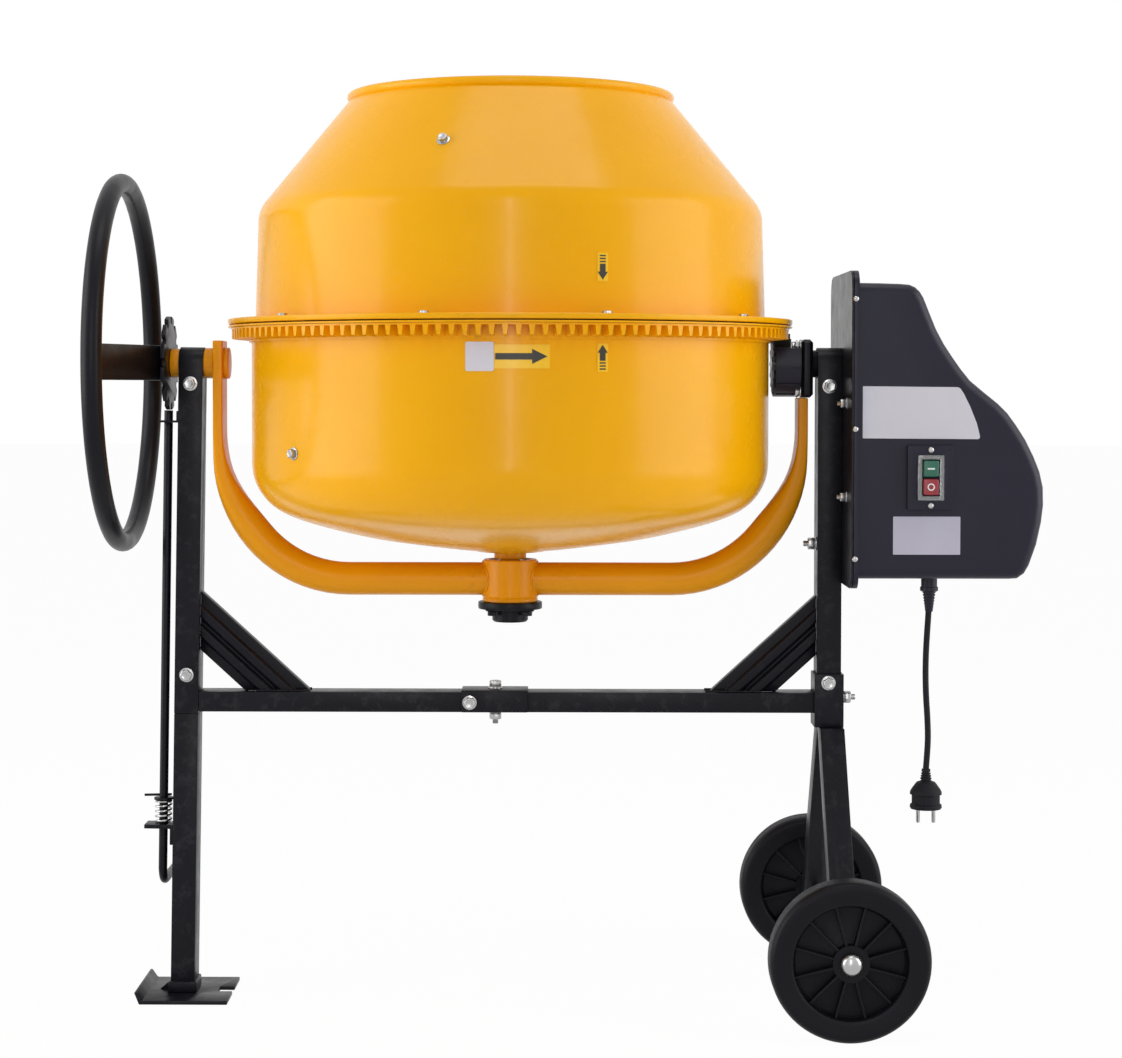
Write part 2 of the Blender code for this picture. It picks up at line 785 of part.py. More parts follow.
def make_tilt_lock_disc():
    collar_from = -post_outer_x - running_gap
    disc_face = lock_disc_x + lock_disc_thickness / 2
    bore = trunnion_radius + seat_gap
    turned("tilt_collar", "X", [
        (0.018, collar_from), (0.018, disc_face + seat_gap), (bore, disc_face + seat_gap), (bore,
            collar_from),
    ], pivot, cradle, orange, 24)
    outline = []
    pitch = 360 / lock_notches
    half = math.degrees(notch_width / 2 / lock_disc_radius)
    for number in range(lock_notches):
        centre = -90 + number * pitch
        for angle, radius in ((centre - half, lock_disc_radius), (centre - half * 0.8,
                                                                  lock_disc_radius - notch_depth),
                              (centre + half * 0.8, lock_disc_radius - notch_depth), (centre + half,
                                  lock_disc_radius),
                              (centre + pitch / 2, lock_disc_radius)):
            a = math.radians(angle)
            outline.append((radius * math.cos(a), pivot_height + radius * math.sin(a)))
    disc = flat("lock_disc", outline, lock_disc_thickness, "YZ", lock_disc_x, cradle, black_paint)
    join(disc, rod("lock_disc_bore", "X", bore, lock_disc_x - 0.02, lock_disc_x + 0.02, pivot, cradle))


def make_handwheel():
    rim = [(handwheel_radius + handwheel_tube * math.cos(a), handwheel_x + handwheel_tube * math.sin(a))
           for a in (math.radians(45 * i) for i in range(8))]
    turned("handwheel_rim", "X", rim, (0, 0, pivot_height), cradle, black_paint, 40)
    reach = handwheel_radius - handwheel_tube + 0.004
    half = strap_thickness / 2
    bend = [(handwheel_x, reach), (handwheel_x, reach - 0.014), (strap_hub_x, 0.045), (strap_hub_x,
        -0.045),
            (handwheel_x, -reach + 0.014), (handwheel_x, -reach)]
    sections = [[(x + half, y, pivot_height - strap_width / 2), (x + half, y,
                                                                 pivot_height + strap_width / 2)]
                for x, y in bend]
    strap = skin("handwheel_strap", sections, strap_thickness, False, cradle, black_paint)
    inside = handwheel_radius - handwheel_tube - seat_gap
    join(strap, rod("rim_inside", "X", inside, handwheel_x - 0.05, strap_hub_x + 0.05, pivot, cradle,
                    None, 40), "INTERSECT")
    join(strap, rod("strap_hole", "X", trunnion_radius / 2 + seat_gap, strap_hub_x - 0.02,
                    strap_hub_x + 0.02,
                    pivot, cradle))


def make_bearing_block():
    """Flanged block on the right strip: a seat for the pinion's bearing, and the hollow trunnion."""
    outer = block_inner_x + block_thickness
    block = box("bearing_block", (block_inner_x, -block_depth / 2, block_bottom),
                (outer, block_depth / 2, block_top), cradle, black_paint)
    soften(block, 0.004, 1)
    trunnion_end = plate_inner_x + 0.001
    join(block, rod("block_neck", "X", neck_radius, outer - 0.004, post_inner_x - running_gap, pivot,
                    cradle), "UNION")
    join(block, rod("block_trunnion", "X", trunnion_radius, outer - 0.004, trunnion_end, pivot, cradle),
         "UNION")
    inner = block_inner_x - 0.02
    join(block, rod("block_bore", "X", drive_shaft_radius + 0.001, inner, trunnion_end + 0.02, pivot,
                    cradle))
    join(block, rod("bearing_seat", "X", 0.0135, inner, outer - 0.003, pivot, cradle))
    bore = drive_shaft_radius + seat_gap
    seat = 0.0135 - seat_gap
    turned("pinion_bearing", "X", [(seat, block_inner_x + 0.0005), (seat, outer - 0.003 - seat_gap),
           (bore, outer - 0.003 - seat_gap), (bore,
                                              block_inner_x + 0.0005)], pivot, cradle, bearing_steel, 24)


def make_pinion_guard():
    """A trough round the pinion's lower half and sides, open on top where the ring gear passes."""
    sections = []
    for x in (guard_inner_x, block_inner_x - seat_gap):
        section = []
        for step in range(15):
            angle = math.radians(guard_opening - (180 + 2 * guard_opening) * step / 14)
            section.append((x, guard_radius * math.cos(angle),
                            pivot_height + guard_radius * math.sin(angle)))
        sections.append(section)
    skin("pinion_guard", sections, guard_wall, False, cradle, black_plastic, outward=False)


make_hub()
make_hub_cover()
make_yoke()
make_left_trunnion()
make_tilt_lock_disc()
make_handwheel()
make_bearing_block()
make_pinion_guard()


# The drive: pinion, shaft and large pulley, all on the tilt axis

def make_pinion():
    pitch = 2 * math.pi / pinion_teeth
    outer_tip = pinion_pitch_radius + pinion_addendum
    outer_root = pinion_pitch_radius - pinion_dedendum
    shape = bmesh.new()
    rings = []
    for x in (pinion_outer, pinion_inner):
        scale = x / ring_pitch_radius
        ring = []
        for number in range(pinion_teeth):
            centre = pitch * (number + 0.5)
            for offset, radius in ((-0.25, outer_root), (-0.10, outer_tip), (0.10, outer_tip), (0.25,
                outer_root)):
                a = centre + offset * pitch
                ring.append(shape.verts.new((x, -radius * scale * math.sin(a),
                                             pivot_height + radius * scale * math.cos(a))))
        rings.append(ring)
    count = len(rings[0])
    for i in range(count):
        j = (i + 1) % count
        shape.faces.new((rings[0][i], rings[0][j], rings[1][j], rings[1][i]))
    shape.faces.new(rings[0][::-1])
    shape.faces.new(rings[1])
    bmesh.ops.recalc_face_normals(shape, faces=shape.faces)
    pinion = add("pinion", mesh_from("pinion", shape), pinion_axis, iron)
    join(pinion, rod("pinion_hub", "X", pinion_hub_radius, pinion_outer - 0.004,
                     block_inner_x - running_gap,
                     pivot, pinion_axis), "UNION")
    join(pinion, rod("pinion_bore", "X", drive_shaft_radius + seat_gap, pinion_inner - 0.02,
                     block_inner_x + 0.02,
                     pivot, pinion_axis))


def make_drive_shaft():
    start = pinion_inner - 0.001
    end = pulley_plane + pulley_width / 2 + 0.012
    turned("drive_shaft", "X", [(0.0, end), (drive_shaft_radius - 0.001, end), (drive_shaft_radius,
        end - 0.001),
           (drive_shaft_radius, start), (0.0, start)], pivot, pinion_axis, steel, 24, ring=False)


def make_pulley(name, radius, bore, hub, centre, holder, material, sides):
    """A flat-belt pulley with a low flange each side and a web thinner than its rim."""
    low, high = pulley_plane - pulley_width / 2, pulley_plane + pulley_width / 2
    lip, web = 0.0015, 0.005
    crest = radius + belt_thickness
    profile = [(crest, high), (crest, high - lip), (radius, high - lip), (radius, low + lip), (crest,
        low + lip),
               (crest, low)]
    if hub > 0:
        rim = radius - 0.006
        mid_low, mid_high = pulley_plane - web / 2, pulley_plane + web / 2
        profile += [(rim, low), (rim, mid_low), (hub, mid_low), (hub, low), (bore, low), (bore, high),
                    (hub, high),
                    (hub, mid_high), (rim, mid_high), (rim, high)]
    else:
        profile += [(bore, low), (bore, high)]
    turned(name, "X", profile, centre, holder, material, sides)


def make_belt():
    """A flat loop round both pulleys: two arcs and the straight runs that touch them."""
    big = large_pulley_radius + 2 * seat_gap + belt_thickness
    small = motor_pulley_radius + 2 * seat_gap + belt_thickness
    span = pivot_height - motor_height
    lean = math.degrees(math.asin((big - small) / span))
    upper = arc((0.0, pivot_height), big, -lean, 180 + lean, 26)
    lower = arc((0.0, motor_height), small, 180 + lean, 360 - lean, 8)
    line = upper + lower
    half = belt_width / 2
    sections = [[(pulley_plane + half, y, z), (pulley_plane - half, y, z)] for y, z in line]
    sections.append(sections[0])
    shape_sections = sections[:-1]
    shape = bmesh.new()
    rows = [[shape.verts.new(point) for point in section] for section in shape_sections]
    for number, row in enumerate(rows):
        following = rows[(number + 1) % len(rows)]
        shape.faces.new((row[0], row[1], following[1], following[0]))
    belt = add("drive_belt", mesh_from("drive_belt", shape), machine, black_rubber)
    solid = belt.modifiers.new("Wall", "SOLIDIFY")
    solid.thickness = belt_thickness
    solid.offset = -1.0
    solid.use_even_offset = True


def make_motor():
    """Motor body as a bored shell round its rotor, both turned about the motor's own axis."""
    centre = (0, 0, motor_height)
    bore = motor_shaft_radius + running_gap
    cheek = 0.010
    turned("motor_housing", "X", [
        (motor_radius, motor_from + 0.006), (motor_radius, motor_to - 0.006), (motor_radius - 0.012,
            motor_to),
        (bore, motor_to), (bore, motor_to - cheek), (stator_bore, motor_to - cheek),
        (stator_bore, motor_from + cheek), (bore, motor_from + cheek), (bore, motor_from),
        (motor_radius - 0.012, motor_from),
    ], centre, machine, aluminium, 32)
    shaft_from = pulley_plane - pulley_width / 2 - 0.002
    core = stator_bore - running_gap * 2
    fan_from = motor_to + 0.004
    turned("motor_rotor", "X", [
        (0.0, fan_from + 0.014), (0.014, fan_from + 0.014), (0.016, fan_from + 0.004), (0.046,
            fan_from + 0.010),
        (0.046, fan_from + 0.008), (0.014, fan_from), (motor_shaft_radius, fan_from),
        (motor_shaft_radius, motor_to - 0.016),
        (core, motor_to - 0.016), (core, motor_from + 0.016), (motor_shaft_radius, motor_from + 0.016),
        (motor_shaft_radius, shaft_from), (0.0, shaft_from),
    ], centre, rotor_axis, steel, 24, ring=False)
    make_pulley("motor_pulley", motor_pulley_radius, motor_shaft_radius + seat_gap, 0, centre,
                rotor_axis, steel, 24)
    shelf_top = motor_height - motor_radius - seat_gap
    thick = 0.004
    face = plate_outer_x + seat_gap
    bracket = box("motor_bracket", (face, -0.045, shelf_top - thick), (motor_to - 0.01, 0.045,
                                                                       shelf_top), machine,
                  black_paint)
    join(bracket, box("bracket_flange", (face, -0.045, shelf_top - 0.020), (face + thick, 0.045,
        shelf_top - 0.001),
                      machine), "UNION")


make_pinion()
make_drive_shaft()
make_pulley("large_pulley", large_pulley_radius, drive_shaft_radius + seat_gap, 0.020, pivot, pinion_axis,
            aluminium, 40)
make_belt()
make_motor()


# The motor's back plate, its cover, the switch and the cord

def rounded(low, high, radius, steps=3):
    """A rectangle with round corners, from its low and high corners."""
    (u0, v0), (u1, v1) = low, high
    return (arc((u1 - radius, v1 - radius), radius, 0, 90, steps) + arc((u0 + radius, v1 - radius),
                                                                        radius, 90, 180, steps)
            + arc((u0 + radius, v0 + radius), radius, 180, 270, steps)
            + arc((u1 - radius, v0 + radius), radius, 270, 360, steps))


def inset(outline, distance):
    """The outline moved inwards by a distance, for an outline that runs clockwise."""
    points = [Vector(p) for p in outline]
    moved = []
    for number, point in enumerate(points):
        before = (point - points[number - 1]).normalized()
        after = (points[(number + 1) % len(points)] - point).normalized()
        normal_a = Vector((before.y, -before.x))
        normal_b = Vector((after.y, -after.x))
        middle = (normal_a + normal_b).normalized()
        moved.append(point + middle * distance / max(0.5, middle.dot(normal_a)))
    return [(p.x, p.y) for p in moved]


def make_cover():
    frame = rounded((-plate_half_depth, plate_bottom), (plate_half_depth, plate_top), 0.022)
    plate = flat("motor_plate", frame, plate_thickness, "YZ", plate_inner_x + plate_thickness / 2,
                 machine, steel)
    join(plate, rod("plate_hole", "X", trunnion_radius + 0.003, post_outer_x - 0.01,
                    post_outer_x + 0.02, pivot,
                    machine))
    cover = flat("motor_cover", frame, cover_flange, "YZ", cover_from + cover_flange / 2, machine,
                 black_plastic)
    body = flat("cover_body", list(cover_outline), 2 * cover_half_depth, "XZ", 0.0, machine)
    soften(body, 0.012, 2, 60)
    join(body, box("cover_back", (cover_from - 0.1, -0.2, plate_bottom - 0.1), (cover_from + 0.002, 0.2,
                   plate_top + 0.1), machine))
    join(cover, body, "UNION")
    hollow = [(x - 0.010 if x < cover_from else x, z) for x, z in inset(cover_outline, cover_wall)]
    space = flat("cover_space", hollow, 2 * (cover_half_depth - cover_wall), "XZ", 0.0, machine)
    soften(space, 0.010, 2, 60)
    join(cover, space)
    join(cover, rod("gland_hole", "Z", gland_radius + seat_gap, gland_bottom - 0.01, gland_bottom + 0.04,
                    (gland_x, gland_y, 0), machine))
    half_w, half_h = switch_width / 2 - 0.006, switch_tall / 2 - 0.006
    join(cover, box("switch_hole", (switch_x - half_w, -cover_half_depth - 0.01, switch_z - half_h),
                    (switch_x + half_w, -cover_half_depth + 0.02, switch_z + half_h), machine))


def make_switch():
    """Face plate outside the cover and a body inside it, with a pocket for each button."""
    face = -cover_half_depth - seat_gap
    front = face - switch_plate
    half_w, half_h = switch_width / 2, switch_tall / 2
    inner_w, inner_h = half_w - 0.006 - seat_gap, half_h - 0.006 - seat_gap
    switch = box("switch_box", (switch_x - half_w, front, switch_z - half_h),
                 (switch_x + half_w, face, switch_z + half_h), machine, black_plastic)
    join(switch, box("switch_body", (switch_x - inner_w, face - 0.002, switch_z - inner_h),
                     (switch_x + inner_w, face + 0.035, switch_z + inner_h), machine), "UNION")
    wide, tall = button_size
    pocket_depth = 0.016
    for name, offset, material in (("start_button", 0.5, green_plastic), ("stop_button", -0.5,
                                                                          red_plastic)):
        centre = switch_z + offset * button_pitch
        gap = running_gap
        join(switch, box(name + "_pocket", (switch_x - wide / 2 - gap, front - 0.01,
                                            centre - tall / 2 - gap),
                         (switch_x + wide / 2 + gap, front + pocket_depth, centre + tall / 2 + gap),
                         machine))
        holder = empty(name + "_slide", (switch_x, front, centre), machine)
        button = box(name, (switch_x - wide / 2, front - button_proud, centre - tall / 2),
                     (switch_x + wide / 2, front + pocket_depth - 0.005, centre + tall / 2), holder,
                     material)
        soften(button, 0.0012, 1)
    frame_w, frame_h = wide / 2 + 0.0035, button_pitch / 2 + tall / 2 + 0.0035
    guard = box("switch_guard", (switch_x - frame_w - 0.003, front - 0.0022 - seat_gap,
                                 switch_z - frame_h - 0.003),
                (switch_x + frame_w + 0.003, front - seat_gap, switch_z + frame_h + 0.003), machine,
                clear_plastic)
    join(guard, box("guard_window", (switch_x - frame_w + 0.002, front - 0.02, switch_z - frame_h + 0.002),
                    (switch_x + frame_w - 0.002, front + 0.02, switch_z + frame_h - 0.002), machine))


def smooth_line(points, steps):
    """A Catmull-Rom curve through the points."""
    places = [Vector(p) for p in points]
    padded = [2 * places[0] - places[1], *places, 2 * places[-1] - places[-2]]
    line = []
    for i in range(1, len(padded) - 2):
        a, b, c, d = padded[i - 1: i + 3]
        for step in range(steps):
            t = step / steps
            line.append(0.5 * ((2 * b) + (c - a) * t + (2 * a - 5 * b + 4 * c - d) * t * t
                               + (3 * b - a - 3 * c + d) * t ** 3))
    line.append(places[-1])
    return line


def make_cord():
    floor = cover_outline[-1][1]
    place = (gland_x, gland_y, 0)
    neck = cord_radius + 0.0015
    turned("cord_gland", "Z", [
        (0.0, floor + 0.008), (gland_radius, floor + 0.008), (gland_radius, floor - seat_gap),
        (gland_radius + 0.002, floor - seat_gap), (gland_radius + 0.002, floor - 0.0045),
        (gland_radius - 0.0015,
        floor - 0.006), (neck, gland_bottom), (0.0, gland_bottom),
    ], place, machine, black_plastic, 20, ring=False)
    route = [(gland_x + x, gland_y + y, gland_bottom - drop) for x, y, drop in cord_route]
    tube("power_cord", smooth_line(route, 2), cord_radius, machine, black_rubber)
    end_x, end_y = route[-1][0], route[-1][1]
    shoulder, belly, face = plug_top - 0.015, plug_top - 0.027, plug_top - 0.049
    plug = turned("plug", "Z", [
        (0.0, plug_top), (0.0055, plug_top), (0.0075, shoulder), (0.0120, shoulder - 0.002), (0.0195,
            belly),
        (0.0200, belly - 0.003), (0.0200, face + 0.002), (0.0185, face), (0.0, face),
    ], (end_x, end_y, 0), machine, black_rubber, 20, ring=False)
    for side in (-1, 1):
        pin = rod(f"plug_pin_{side}", "Z", 0.0024, face - 0.0175, face + 0.004, (end_x + side * 0.0095,
            end_y, 0),
                  machine, None, 10)
        join(plug, pin, "UNION")


make_cover()
make_switch()
make_cord()


# The stand

def make_post(name, side, bottom, holder):
    """Upright with a half-round top, bored across for the bush and open underneath."""
    x = side * stand_half_width
    half = post_depth / 2
    top = arc((0.0, pivot_height), half, 0, 180, 10)
    outline = [(half, bottom)] + top + [(-half, bottom)]
    post = flat(name, outline, post_width, "YZ", x, holder, black_paint)
    inner_x, inner_y = post_width / 2 - tube_wall, half - tube_wall
    join(post, box(name + "_space", (x - inner_x, -inner_y, bottom - 0.01),
                   (x + inner_x, inner_y, pivot_height - half - 0.008), holder))
    join(post, rod(name + "_bore", "X", bush_radius + seat_gap, x - 0.03, x + 0.03, pivot, machine))
    gap = running_gap
    ends = sorted((side * (post_inner_x + 0.0005), side * (post_outer_x - 0.0005)))
    turned(name.replace("post", "bush"), "X", [
        (bush_radius, ends[1]), (bush_radius, ends[0]), (trunnion_radius + gap, ends[0]),
        (trunnion_radius + gap, ends[1]),
    ], pivot, machine, nylon, 24)


def make_left_leg():
    x = -stand_half_width
    foot_top = foot_thickness + seat_gap
    bottom = foot_top + seat_gap
    joint = left_joint_height - seat_gap
    half_x, half_y = post_width / 2, post_depth / 2
    leg = box("left_leg", (x - half_x, -half_y, bottom), (x + half_x, half_y, joint), left_stand,
              black_paint)
    plug_x, plug_y = half_x - tube_wall - seat_gap, half_y - tube_wall - seat_gap
    top = left_joint_height + spigot_length
    join(leg, box("leg_spigot", (x - plug_x, -plug_y, joint - 0.02), (x + plug_x, plug_y, top),
                  left_stand), "UNION")
    deep = tube_wall + seat_gap + tube_wall
    join(leg, box("leg_space", (x - half_x + deep, -half_y + deep, bottom - 0.01),
                  (x + half_x - deep, half_y - deep, top + 0.01), left_stand))


def make_foot():
    """Flat plate under the leg, with its outer edge turned up."""
    centre = -stand_half_width - lean_shift(0.0) + 0.004
    low, high = centre - foot_width / 2, centre + foot_width / 2
    edge = [(high, 0.0), (high, foot_thickness), (low + 0.010, foot_thickness), (low + 0.003,
        foot_thickness
            + foot_lip), (low, foot_thickness + foot_lip), (low + 0.006, 0.0)]
    foot = flat("foot_plate", edge, foot_length, "XZ", 0.0, machine, black_paint)
    notch = 0.018
    join(foot, box("foot_notch", (high - notch, -0.012, -0.01), (high + 0.01, 0.012, 0.03), machine))


def make_crossbar():
    left_face = -post_inner_x - lean_shift(crossbar_height - crossbar_size / 2) + 0.0006
    left_face = max(left_face, -post_inner_x - lean_shift(crossbar_height + crossbar_size / 2) + seat_gap)
    centre = (0, 0, crossbar_height)
    rect_tube("left_crossbar", "X", post_depth, crossbar_size, tube_wall, left_face,
              crossbar_joint_x - seat_gap, centre, machine, black_paint)
    rect_tube("right_crossbar", "X", post_depth, crossbar_size, tube_wall, crossbar_joint_x + seat_gap,
              post_inner_x - seat_gap, centre, machine, black_paint)
    half = post_depth / 2 + seat_gap
    top = crossbar_height + crossbar_size / 2 + seat_gap
    bottom = crossbar_height - crossbar_size / 2
    corners = [(half + splice_wall, bottom), (half + splice_wall, top + splice_wall),
               (-half - splice_wall, top
               + splice_wall), (-half - splice_wall, bottom)]
    sections = [[(x, y, z) for y, z in corners] for x in (splice_from, splice_to)]
    skin("crossbar_splice", sections, splice_wall, False, machine, black_paint)


def make_brace(name, side, holder):
    """Pressed strip with two ribs, cut to the post at one end and to the crossbar at the other."""
    edge, back, front, rib = 0.0, 0.010, -0.006, -0.012
    w = brace_width
    line = [(edge, back), (edge, front), (0.2 * w, front), (0.26 * w, rib), (0.38 * w, rib), (0.44 * w,
        front),
            (0.56 * w, front), (0.62 * w, rib), (0.74 * w, rib), (0.80 * w, front), (w, front), (w, back)]
    c, s = math.cos(brace_angle), math.sin(brace_angle)
    floor = crossbar_height + crossbar_size / 2 + seat_gap
    along = Vector((-c, -s))
    across = Vector((s, -c))
    top = Vector((post_inner_x, brace_top))
    length = (brace_top - floor) / s + brace_width
    sections = []
    for distance in (-0.025, length):
        places = [top + along * distance + across * u for u, y in line]
        sections.append([(side * place.x, y, place.y) for place, (u, y) in zip(places, line)])
    brace = skin(name, sections, 0.0025, False, machine, black_paint, outward=side > 0)
    reach = post_inner_x + 0.2
    join(brace, box(name + "_floor", (-reach, -0.1, floor - 0.2), (reach, 0.1, floor), machine))
    face = side * (post_inner_x - seat_gap)
    ends = sorted((face, side * reach))
    join(brace, box(name + "_face", (ends[0], -0.1, brace_top - 0.2), (ends[1], 0.1, brace_top + 0.2),
                    holder))


def leg_outline(side):
    """Side view of one wheel leg: from under the sleeve out and down to the axle."""
    top = sleeve_bottom - seat_gap
    start = Vector((side * leg_size * 0.54, top))
    end = Vector((side * leg_foot_y, wheel_radius))
    along = (end - start).normalized()
    out = Vector((-along.y * side, along.x * side)) * leg_size / 2
    tip = end + along * leg_overrun
    outer_top = start + out + along * ((top - (start + out).y) / along.y)
    inner = start - out
    middle = side * seat_gap
    crotch = inner + along * ((middle - inner.x) / along.x)
    points = [(middle, top), tuple(outer_top), tuple(tip + out), tuple(tip - out), tuple(crotch)]
    return points if side > 0 else points[::-1]


def make_wheel_stand():
    x = stand_half_width
    half_x, half_y = post_width / 2 + seat_gap + sleeve_wall, post_depth / 2 + seat_gap + sleeve_wall
    sleeve = box("stand_sleeve", (x - half_x, -half_y, sleeve_bottom), (x + half_x, half_y, sleeve_top),
                 machine,
                 black_paint)
    join(sleeve, box("sleeve_space", (x - half_x + sleeve_wall, -half_y + sleeve_wall,
                                      sleeve_bottom + 0.003),
                     (x + half_x - sleeve_wall, half_y - sleeve_wall, sleeve_top + 0.01), machine))
    slot = crossbar_height + crossbar_size / 2 + seat_gap * 2
    join(sleeve, box("sleeve_slot", (x - half_x - 0.01, -post_depth / 2 - seat_gap * 2, crossbar_height
                     - crossbar_size / 2 - seat_gap * 2), (x - half_x + sleeve_wall + seat_gap,
                                                           post_depth / 2
                     + seat_gap * 2, slot), machine))
    for name, side in (("front_leg", -1), ("rear_leg", 1)):
        leg = flat(name, leg_outline(side), leg_size, "YZ", axle_x, machine, black_paint)
        join(leg, rod(name + "_axle_hole", "Y", axle_radius + seat_gap, -0.3, 0.3, (axle_x, 0,
            wheel_radius), machine))
    cap_from = wheel_track + wheel_width / 2 + 0.002
    cap_to = cap_from + axle_cap_depth
    turned("axle", "Y", [
        (0.0, cap_to), (axle_cap_radius * 0.6, cap_to), (axle_cap_radius, cap_to - 0.003),
        (axle_cap_radius, cap_from),
        (axle_radius, cap_from), (axle_radius, -cap_from), (axle_cap_radius, -cap_from),
        (axle_cap_radius, -cap_to + 0.003), (axle_cap_radius * 0.6, -cap_to), (0.0, -cap_to),
    ], (axle_x, 0, wheel_radius), machine, steel, 20, ring=False)


def make_wheel(name, side):
    """Solid tyre, dished web and hub, turned as one moulding."""
    holder = empty(name + "_roll", (axle_x, side * wheel_track, wheel_radius), machine)
    half = wheel_width / 2
    bore, hub, rim = axle_radius + running_gap, 0.020, 0.074
    profile = [
        (wheel_radius - 0.007, half), (wheel_radius, half - 0.010), (wheel_radius, -half + 0.010),
        (wheel_radius - 0.007, -half), (rim, -half), (rim - 0.002, -0.005), (hub + 0.004, -0.005), (hub,
            -half
        + 0.002), (bore, -half + 0.002), (bore, half), (hub, half), (hub + 0.004, 0.005), (rim - 0.002,
            0.005),
        (rim, half),
    ]
    turned(name, "Y", profile, (axle_x, side * wheel_track, wheel_radius), holder, black_plastic, 36)


make_post("left_post", -1, left_joint_height, left_stand)
make_post("right_post", 1, sleeve_bottom + 0.0033, machine)
make_left_leg()
make_foot()
make_crossbar()
make_brace("left_brace", -1, left_stand)
make_brace("right_brace", 1, machine)
make_wheel_stand()
make_wheel("front_wheel", -1)
make_wheel("rear_wheel", 1)


# The tilt lock: a sprung rod beside the left post, with a pedal at its foot

def make_lock_rod():
    tip = pivot_height - lock_disc_radius - rod_tip_gap
    slide = empty("lock_rod_slide", (rod_x, 0.0, tip), left_stand)
    binds["lock_rod_slide"] = Matrix.Translation((rod_x, 0.0, tip))
    bend = arc((pedal_bend, pedal_height + pedal_bend), pedal_bend, 180, 270, 4)
    points = [(rod_x, 0.0, tip)] + [(rod_x, y, z) for y, z in bend] + [(rod_x, pedal_length, pedal_height)]
    bar = tube("lock_rod", points, rod_radius, slide, black_paint, 2)
    pin_height = rod_washer_height + rod_washer_thickness + 0.003
    join(bar, rod("cotter_pin", "X", 0.0016, rod_x - 0.024, rod_x + 0.010, (0, 0, pin_height), slide,
                  None, 8),
         "UNION")
    join(bar, rod("rod_washer", "Z", rod_washer_radius, rod_washer_height,
                  rod_washer_height + rod_washer_thickness,
                  (rod_x, 0, 0), slide, None, 20), "UNION")


def make_spring():
    low = bracket_top + seat_gap + spring_wire
    high = rod_washer_height - seat_gap - spring_wire
    radius = spring_radius - spring_wire
    count = spring_turns * 10
    points = []
    for step in range(count + 1):
        angle = 2 * math.pi * step / 10
        points.append((rod_x + radius * math.cos(angle), radius * math.sin(angle),
                       low + (high - low) * step / count))
    tube("rod_spring", points, spring_wire, left_stand, steel, 1)


def make_rod_brackets():
    face = -post_outer_x - seat_gap
    far = rod_x - 0.022
    hole = rod_radius + running_gap
    low = bracket_top - bracket_thickness
    edge = [(face, bracket_top), (far, bracket_top), (far, low), (face - 0.004, low), (face - 0.004,
        low - 0.020),
            (face, low - 0.020)]
    bracket = flat("spring_bracket", edge, 0.030, "XZ", 0.0, left_stand, black_paint)
    join(bracket, rod("bracket_hole", "Z", hole, low - 0.03, bracket_top + 0.01, (rod_x, 0, 0),
                      left_stand))
    low = guide_height - guide_thickness
    edge = [(face, guide_height + 0.012), (face - 0.003, guide_height + 0.012), (face - 0.003,
        guide_height),
            (rod_x - 0.010, guide_height), (rod_x - 0.010, low), (face, low)]
    guide = flat("rod_guide", edge, 0.024, "XZ", 0.0, left_stand, black_paint)
    join(guide, rod("guide_hole", "Z", hole, low - 0.01, guide_height + 0.01, (rod_x, 0, 0), left_stand))


make_lock_rod()
make_spring()
make_rod_brackets()
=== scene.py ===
import math

import bpy
from mathutils import Matrix, Vector


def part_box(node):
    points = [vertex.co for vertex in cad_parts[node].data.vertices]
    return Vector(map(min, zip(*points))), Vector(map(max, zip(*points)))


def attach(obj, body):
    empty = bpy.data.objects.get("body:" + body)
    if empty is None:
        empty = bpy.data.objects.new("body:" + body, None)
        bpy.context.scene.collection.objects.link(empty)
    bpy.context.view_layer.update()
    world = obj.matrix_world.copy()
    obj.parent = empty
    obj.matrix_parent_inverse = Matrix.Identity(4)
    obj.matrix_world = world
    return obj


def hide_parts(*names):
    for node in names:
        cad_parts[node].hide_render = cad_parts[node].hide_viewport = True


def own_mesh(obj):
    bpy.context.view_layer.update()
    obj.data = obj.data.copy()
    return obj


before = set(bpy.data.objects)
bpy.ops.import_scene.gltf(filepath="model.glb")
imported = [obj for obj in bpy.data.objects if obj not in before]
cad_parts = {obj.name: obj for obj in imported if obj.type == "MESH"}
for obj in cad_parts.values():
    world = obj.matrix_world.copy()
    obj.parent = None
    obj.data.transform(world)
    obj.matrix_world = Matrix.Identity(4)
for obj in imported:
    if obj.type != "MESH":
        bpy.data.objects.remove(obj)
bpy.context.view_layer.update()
scene = bpy.context.scene
scene.view_settings.view_transform = "Standard"


# Places that many pieces share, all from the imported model

boxes = {name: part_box(name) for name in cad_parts}


def low(node):
    return boxes[node][0]


def high(node):
    return boxes[node][1]


def middle(node):
    return (low(node) + high(node)) / 2


drumAxis = middle("drum_bowl").x
pivotHeight = middle("tilt_collar").z
seamHeight = low("drum_cone").z
bowlFloor = low("drum_bowl").z
leftPostTop = middle("left_bush").x
rightPostX = middle("right_post").x
postFront = low("right_post").y
postLean = math.radians(0.9)


def leftPostX(height):
    return leftPostTop - math.tan(postLean) * (pivotHeight - height)


# The camera stands in front, level with the drum's lower half, and looks slightly down

cameraValues = {
    "place": (-0.022, -3.1, 0.7643),
    "pitch": -0.0287,
    "roll": 0.0012,
    "turn": 0.009,
    "lens": 79.6,
    "shift": (0.0267, -0.0642),
}


def makeCamera():
    bpy.ops.object.camera_add(
        location=cameraValues["place"],
        rotation=(math.pi / 2 + cameraValues["pitch"], -cameraValues["roll"], cameraValues["turn"]),
    )
    camera = bpy.context.object
    camera.name = "frontCamera"
    camera.data.lens = cameraValues["lens"]
    camera.data.sensor_width = 36
    camera.data.shift_x, camera.data.shift_y = cameraValues["shift"]
    camera.data.clip_start = 0.05
    camera.data.clip_end = 100
    scene.camera = camera


